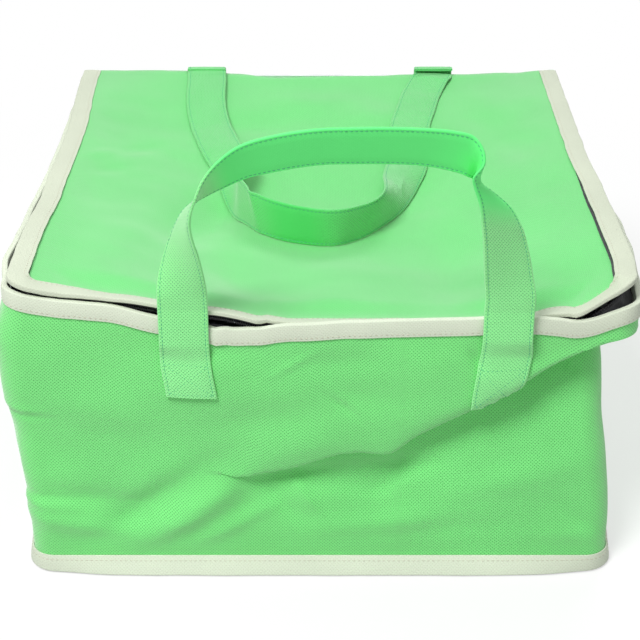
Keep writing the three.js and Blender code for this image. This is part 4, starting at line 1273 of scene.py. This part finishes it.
# Painted shade: the back strap's stretch where its band turns over, and the front strap's grip, take a darker,
# more saturated green without sheen, with fainter dots.
back_strap_cloth = cloth_material("back strap cloth", *BACK_GREENS, smooth_shaded=((0.075, 0.60, 0.13), 0.236, 0.272))
front_strap_cloth = cloth_material(
    "front strap cloth", (0.27, 0.86, 0.29), (0.07, 0.52, 0.12), smooth_shaded=((0.105, 0.94, 0.210), 0.145, 0.325),
)
green_thread = thread_material("dark green thread", (0.05, 0.46, 0.22))


def strap_profile():
    """Half of the strap's section, (across, out): full between the seams, pressed in at the seams."""
    half, thick = STRAP / 2, STRAP_THICK / 2
    shares = (-1, -0.985, -0.95, -0.90, -0.86, -0.82, -0.5, 0, 0.5, 0.82, 0.86, 0.90, 0.95, 0.985, 1)
    lifts = (0.25, 0.62, 0.88, 0.90, 0.70, 0.90, 1.0, 1.02, 1.0, 0.90, 0.70, 0.90, 0.88, 0.62, 0.25)
    top = [(a * half, b * thick) for a, b in zip(shares, lifts)]
    return top + [(a, -b) for a, b in reversed(top)]


def strap_frames(stops, steps, square=1.0):
    """Along stops of (place, direction of the outer edge): places, edge directions and face directions."""
    places = catmull([p for p, _ in stops], steps)
    edges = catmull([e for _, e in stops], steps)
    frames = []
    for i, place in enumerate(places):
        ahead = (places[min(i + 1, steps)] - places[max(i - 1, 0)]).normalized()
        edge = edges[i] - ahead * edges[i].dot(ahead) * square
        edge.normalize()
        frames.append((place, edge, ahead.cross(edge).normalized()))
    return frames


def straight_row(place, edge, face):
    """A cut across the strap, as a place for each (towards the outer edge, out of the face)."""
    ripple = 0.00025 * noise.noise(place * 55)
    return lambda a, b: place + edge * a + face * (b + ripple)


def strap_piece(name, rows, cloth):
    section = strap_profile()
    return swept(name, [[row(a, b) for a, b in section] for row in rows], cloth)


def spot(row, across, face):
    """A place on the strap's face for a stitch, and its outward direction."""
    a = across * STRAP / 2
    out = (row(a, STRAP_THICK * face) - row(a, 0)).normalized()
    return row(a, STRAP_THICK * 0.37 * face), out


def sew_strap(name, runs, radius=0.00019):
    return sew(name, runs, green_thread, pitch=0.0026, radius=radius)


def edge_seams(rows):
    return [[spot(row, across, face) for row in rows] for across in (-EDGE_SEAM, EDGE_SEAM) for face in (1, -1)]


def boxed_cross(rows):
    """The box and its cross, sewn through a strap's end over these rows."""
    across = np.linspace(-EDGE_SEAM, EDGE_SEAM, 12)
    count = len(rows) - 1
    runs = [[spot(rows[k], a, 1) for a in across] for k in (0, count)]
    slope = [EDGE_SEAM - 2 * EDGE_SEAM * k / count for k in range(count + 1)]
    runs += [[spot(row, side * a, 1) for row, a in zip(rows, slope)] for side in (-1, 1)]
    return runs


FRONT_CENTRE = 0.0145
FRONT_SPACING = 0.181
FRONT_HINGE = 0.183
STRAP_OUT = 0.0012
FRONT_LOOP_Y = -DEPTH / 2 - 0.006 - 0.0003 - BINDING - 0.0009 - STRAP_OUT
# The loop from left to right: how far across and up, how much of a half turn its edge has made, and how
# much of a quarter turn that edge is tipped down
FRONT_LOOP = [
    (-1, 0, 0, 0.3), (-1, 0.08, 0.01, 0.3), (-0.998, 0.28, 0.18, 0.29), (-0.99, 0.44, 0.32, 0.28),
    (-0.97, 0.54, 0.39, 0.26), (-0.936, 0.62, 0.43, 0.26), (-0.89, 0.68, 0.475, 0.29),
    (-0.83, 0.75, 0.51, 0.42), (-0.743, 0.825, 0.53, 0.55), (-0.62, 0.9, 0.53, 0.65),
    (-0.446, 0.95, 0.52, 0.70), (-0.21, 0.99, 0.51, 0.70), (0, 1, 0.5, 0.70), (0.4, 0.996, 0.5, 0.71),
    (0.6, 0.97, 0.495, 0.76), (0.690, 0.945, 0.485, 0.78), (0.742, 0.905, 0.475, 0.66),
    (0.757, 0.85, 0.47, 0.48), (0.758, 0.79, 0.59, 0.37), (0.8, 0.735, 0.66, 0.36),
    (0.865, 0.65, 0.74, 0.36), (0.913, 0.53, 0.81, 0.32), (0.947, 0.39, 0.86, 0.28),
    (0.978, 0.21, 0.93, 0.28), (1, 0.08, 0.99, 0.3), (1, 0, 1, 0.3),
]
wall_walks = {}


def wall_walk(x, t):
    """The place on the front wall a distance t under the rim's seam, and the wall's outward direction."""
    key = round(x * 10000)
    if key not in wall_walks:
        line = even_steps(wall_profile(HALF_RUN + x), 160)[::-1]
        wall_walks[key] = line, run_lengths(line)
    line, run = wall_walks[key]
    at, below = (Vector(read_line(d, run, line)) for d in (t, t + 0.002))
    return at, (below - at).cross(Vector((1, 0, 0))).normalized()


def front_end_rows(side, length):
    """The end follows the wall from its box of stitches up to the seam, then stands clear of the rim."""
    middle = FRONT_CENTRE + side * FRONT_SPACING / 2
    seam = rim_seam(middle)

    def row_at(t):
        def row(a, b):
            x = middle + side * (a - 0.0045 * ramp(t, 0, 0.045))
            flat = Vector((x, FRONT_LOOP_Y - b, seam - t))
            if t <= 0:
                return flat
            at, out = wall_walk(x, t + (rim_seam(x) - seam) * ramp(t, 0, 0.02))
            return flat.lerp(at + out * (STRAP_OUT + b), ramp(t, 0, 0.014))
        return row

    return [row_at(t) for t in np.arange(length, seam - FRONT_HINGE, -0.001)]


def front_loop_stops():
    """The loop twists at both shoulders, and its grip stands on edge with the legs' back to the front."""
    stops = []
    for across, up, turn_share, drop_share in FRONT_LOOP:
        turn = turn_share * math.pi
        drop = drop_share * math.pi / 2
        back = math.sin(turn)
        x = FRONT_CENTRE + across * FRONT_SPACING / 2
        place = (x, FRONT_LOOP_Y - 0.017 * up ** 1.1, FRONT_HINGE + 0.0002 + 0.104 * up)
        edge = (-math.cos(turn), back * math.cos(drop), -back * math.sin(drop))
        stops.append((Vector(place), Vector(edge)))
    return stops


left_rows = front_end_rows(-1, 0.036)
right_rows = front_end_rows(1, 0.047)
loop_rows = [straight_row(*cut) for cut in strap_frames(front_loop_stops(), 200, square=0)]
front_rows = [*left_rows, *loop_rows, *right_rows[::-1]]
front_strap = strap_piece("front_handle_strap", front_rows, front_strap_cloth)
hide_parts("front_handle", "front_handle_left_end", "front_handle_right_end")
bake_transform(front_strap)
front_seams = sew_strap("front_handle_stitches", edge_seams(front_rows[1:-1]))
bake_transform(front_seams)
box_runs = boxed_cross(left_rows[2:22]) + boxed_cross(right_rows[2:27])
front_boxes = sew_strap("front_handle_boxes", box_runs, radius=0.00018)
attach(front_boxes, "bag")


# Back handle: the same strap. Its ends are sewn to the back, it comes over the back edge onto the lid, and
# its loop lies there, with the front of the loop standing on edge in the lid's hollow.
BACK_SPACING = 0.168
# The line of its outer edge, then how far the strap stands up at that edge and at its inner edge, in
# degrees, where between the edges it is bent (-1 inner to 1 outer), and how far the cut across it slants
BACK_LOOP = [
    (-0.0975, 0.1710, 0, 0, 0, 0), (-0.0974, 0.1650, 0, 0, 0, 0), (-0.0969, 0.1580, 0, 0, 0, 0),
    (-0.0966, 0.1380, 0, 0, 0, 0), (-0.0953, 0.1200, 0, 0, 0, 0), (-0.0925, 0.1030, 1, 1, 0, 0),
    (-0.0870, 0.0790, 4, 4, 0, 0), (-0.0814, 0.0590, 8, 8, 0, 0), (-0.0750, 0.0420, 14, 14, 0, 0.03),
    (-0.0690, 0.0250, 28, 26, 0, 0.10), (-0.0635, 0.0070, 50, 46, 0, 0.20),
    (-0.0575, -0.0080, 70, 66, 0, 0.30), (-0.0510, -0.0230, 83, 82, 0, 0.38),
    (-0.0435, -0.0350, 88, 88, 0, 0.36), (-0.0343, -0.0430, 91, 91, 0, 0.22),
    (-0.0200, -0.0485, 96, 96, 0, 0.06), (-0.0080, -0.0515, 99, 99, 0, 0),
    (0.0020, -0.0535, 101, 101, 0, 0), (0.0110, -0.0530, 102, 102, -0.4, 0),
    (0.0204, -0.0470, 103, 103, -0.8, 0), (0.0287, -0.0400, 104, 104, -1, 0),
    (0.0360, -0.0320, 101, 84, -0.85, 0), (0.0455, -0.0188, 90, 44, -0.5, 0),
    (0.0561, 0.0006, 74, 18, -0.1, 0), (0.0660, 0.0278, 50, 8, 0.12, 0), (0.0722, 0.0455, 30, 3, 0.3, 0),
    (0.0750, 0.0710, 10, 1, 0.3, 0), (0.0778, 0.0980, 2, 0, 0.2, 0), (0.0819, 0.1160, 0, 0, 0, 0),
    (0.0871, 0.1400, 0, 0, 0, 0), (0.0930, 0.1580, 0, 0, 0, 0), (0.0966, 0.1660, 0, 0, 0, 0),
    (0.0975, 0.1710, 0, 0, 0, 0),
]
BEND = 0.0022
BACK_STEPS = 260


def back_row(line, shape, k):
    """A bent cut across the strap, from its inner edge (-STRAP / 2) to the outer one, which lies on the lid."""
    ahead = line[min(k + 1, len(line) - 1)] - line[max(k - 1, 0)]
    ahead = Vector((ahead.x, ahead.y, 0)).normalized()
    outward = Vector((ahead.y, -ahead.x, 0))
    tilt, bend = shape[k], shape[k].z * STRAP / 2
    outer, inner = (outward * math.cos(a) - Vector((0, 0, math.sin(a))) for a in (tilt.x, tilt.y))
    slant = ahead * line[k].z

    def from_bend(a):
        t = a - bend
        turned = t * t / (4 * BEND) + t / 2 if abs(t) <= BEND else max(t, 0) - BEND / 4
        return inner * (t - turned) + outer * turned + slant * t

    foot = Vector((line[k].x, line[k].y, 0)) - from_bend(STRAP / 2)
    spots = [foot + from_bend(part * STRAP / 2) for part in (-1, -0.6, -0.2, 0.2, 0.6, 1)]
    flat = max(abs(math.cos(tilt.x)), 0.2)
    foot.z += max(lid_height(spot.x, spot.y) - spot.z for spot in spots) + 0.0005 + STRAP_THICK / 2 * flat
    ripple = 0.00025 * noise.noise(foot * 55)

    def place(a, b):
        share = min(max((a - bend) / (2 * BEND) + 0.5, 0), 1)
        face = ahead.cross(inner * (1 - share) + outer * share).normalized()
        return foot + from_bend(a) + face * (b + ripple)

    return place


back_line = catmull([Vector((x, y, slant)) for x, y, _, _, _, slant in BACK_LOOP], BACK_STEPS)
back_shape = catmull(
    [Vector((math.radians(out), math.radians(up), bend)) for _, _, out, up, bend, _ in BACK_LOOP], BACK_STEPS,
)
back_rows = [back_row(back_line, back_shape, k) for k in range(BACK_STEPS + 1)]
back_strap = strap_piece("back_handle_strap", back_rows, back_strap_cloth)
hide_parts("back_handle")
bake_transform(back_strap)
back_seams = sew_strap("back_handle_stitches", edge_seams(back_rows))
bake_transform(back_seams)


def back_end_stops(x, outer):
    """Up the back from the box of stitches, and over the folded edge onto the lid."""
    stops = []
    for z in np.linspace(0.128, 0.186, 9):
        stops.append((Vector((x, DEPTH / 2 + back_swell(x, z) + STRAP_OUT + 0.0003, z)), outer))
    for share in np.linspace(0.15, 1.0, 5):
        turn = share * math.pi / 2
        stops.append((Vector((x, 0.1752 + 0.0052 * math.cos(turn), 0.1908 + 0.0051 * math.sin(turn))), outer))
    return [*stops, (Vector((x, 0.1712, 0.1959)), outer)]


for side, word in ((-1, "left"), (1, "right")):
    stops = back_end_stops(side * BACK_SPACING / 2, Vector((side, 0, 0)))
    end_rows = [straight_row(*cut) for cut in strap_frames(stops, 60)]
    end_strap = strap_piece(f"back_handle_{word}_end_strap", end_rows, end_strap_cloth)
    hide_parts(f"back_handle_{word}_end")
    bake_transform(end_strap)
    box_rows = [row for row in end_rows if 0.130 <= row(0, 0).z <= 0.150]
    end_seams = sew_strap(f"back_handle_{word}_end_stitches", edge_seams(end_rows) + boxed_cross(box_rows))
    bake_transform(end_seams)
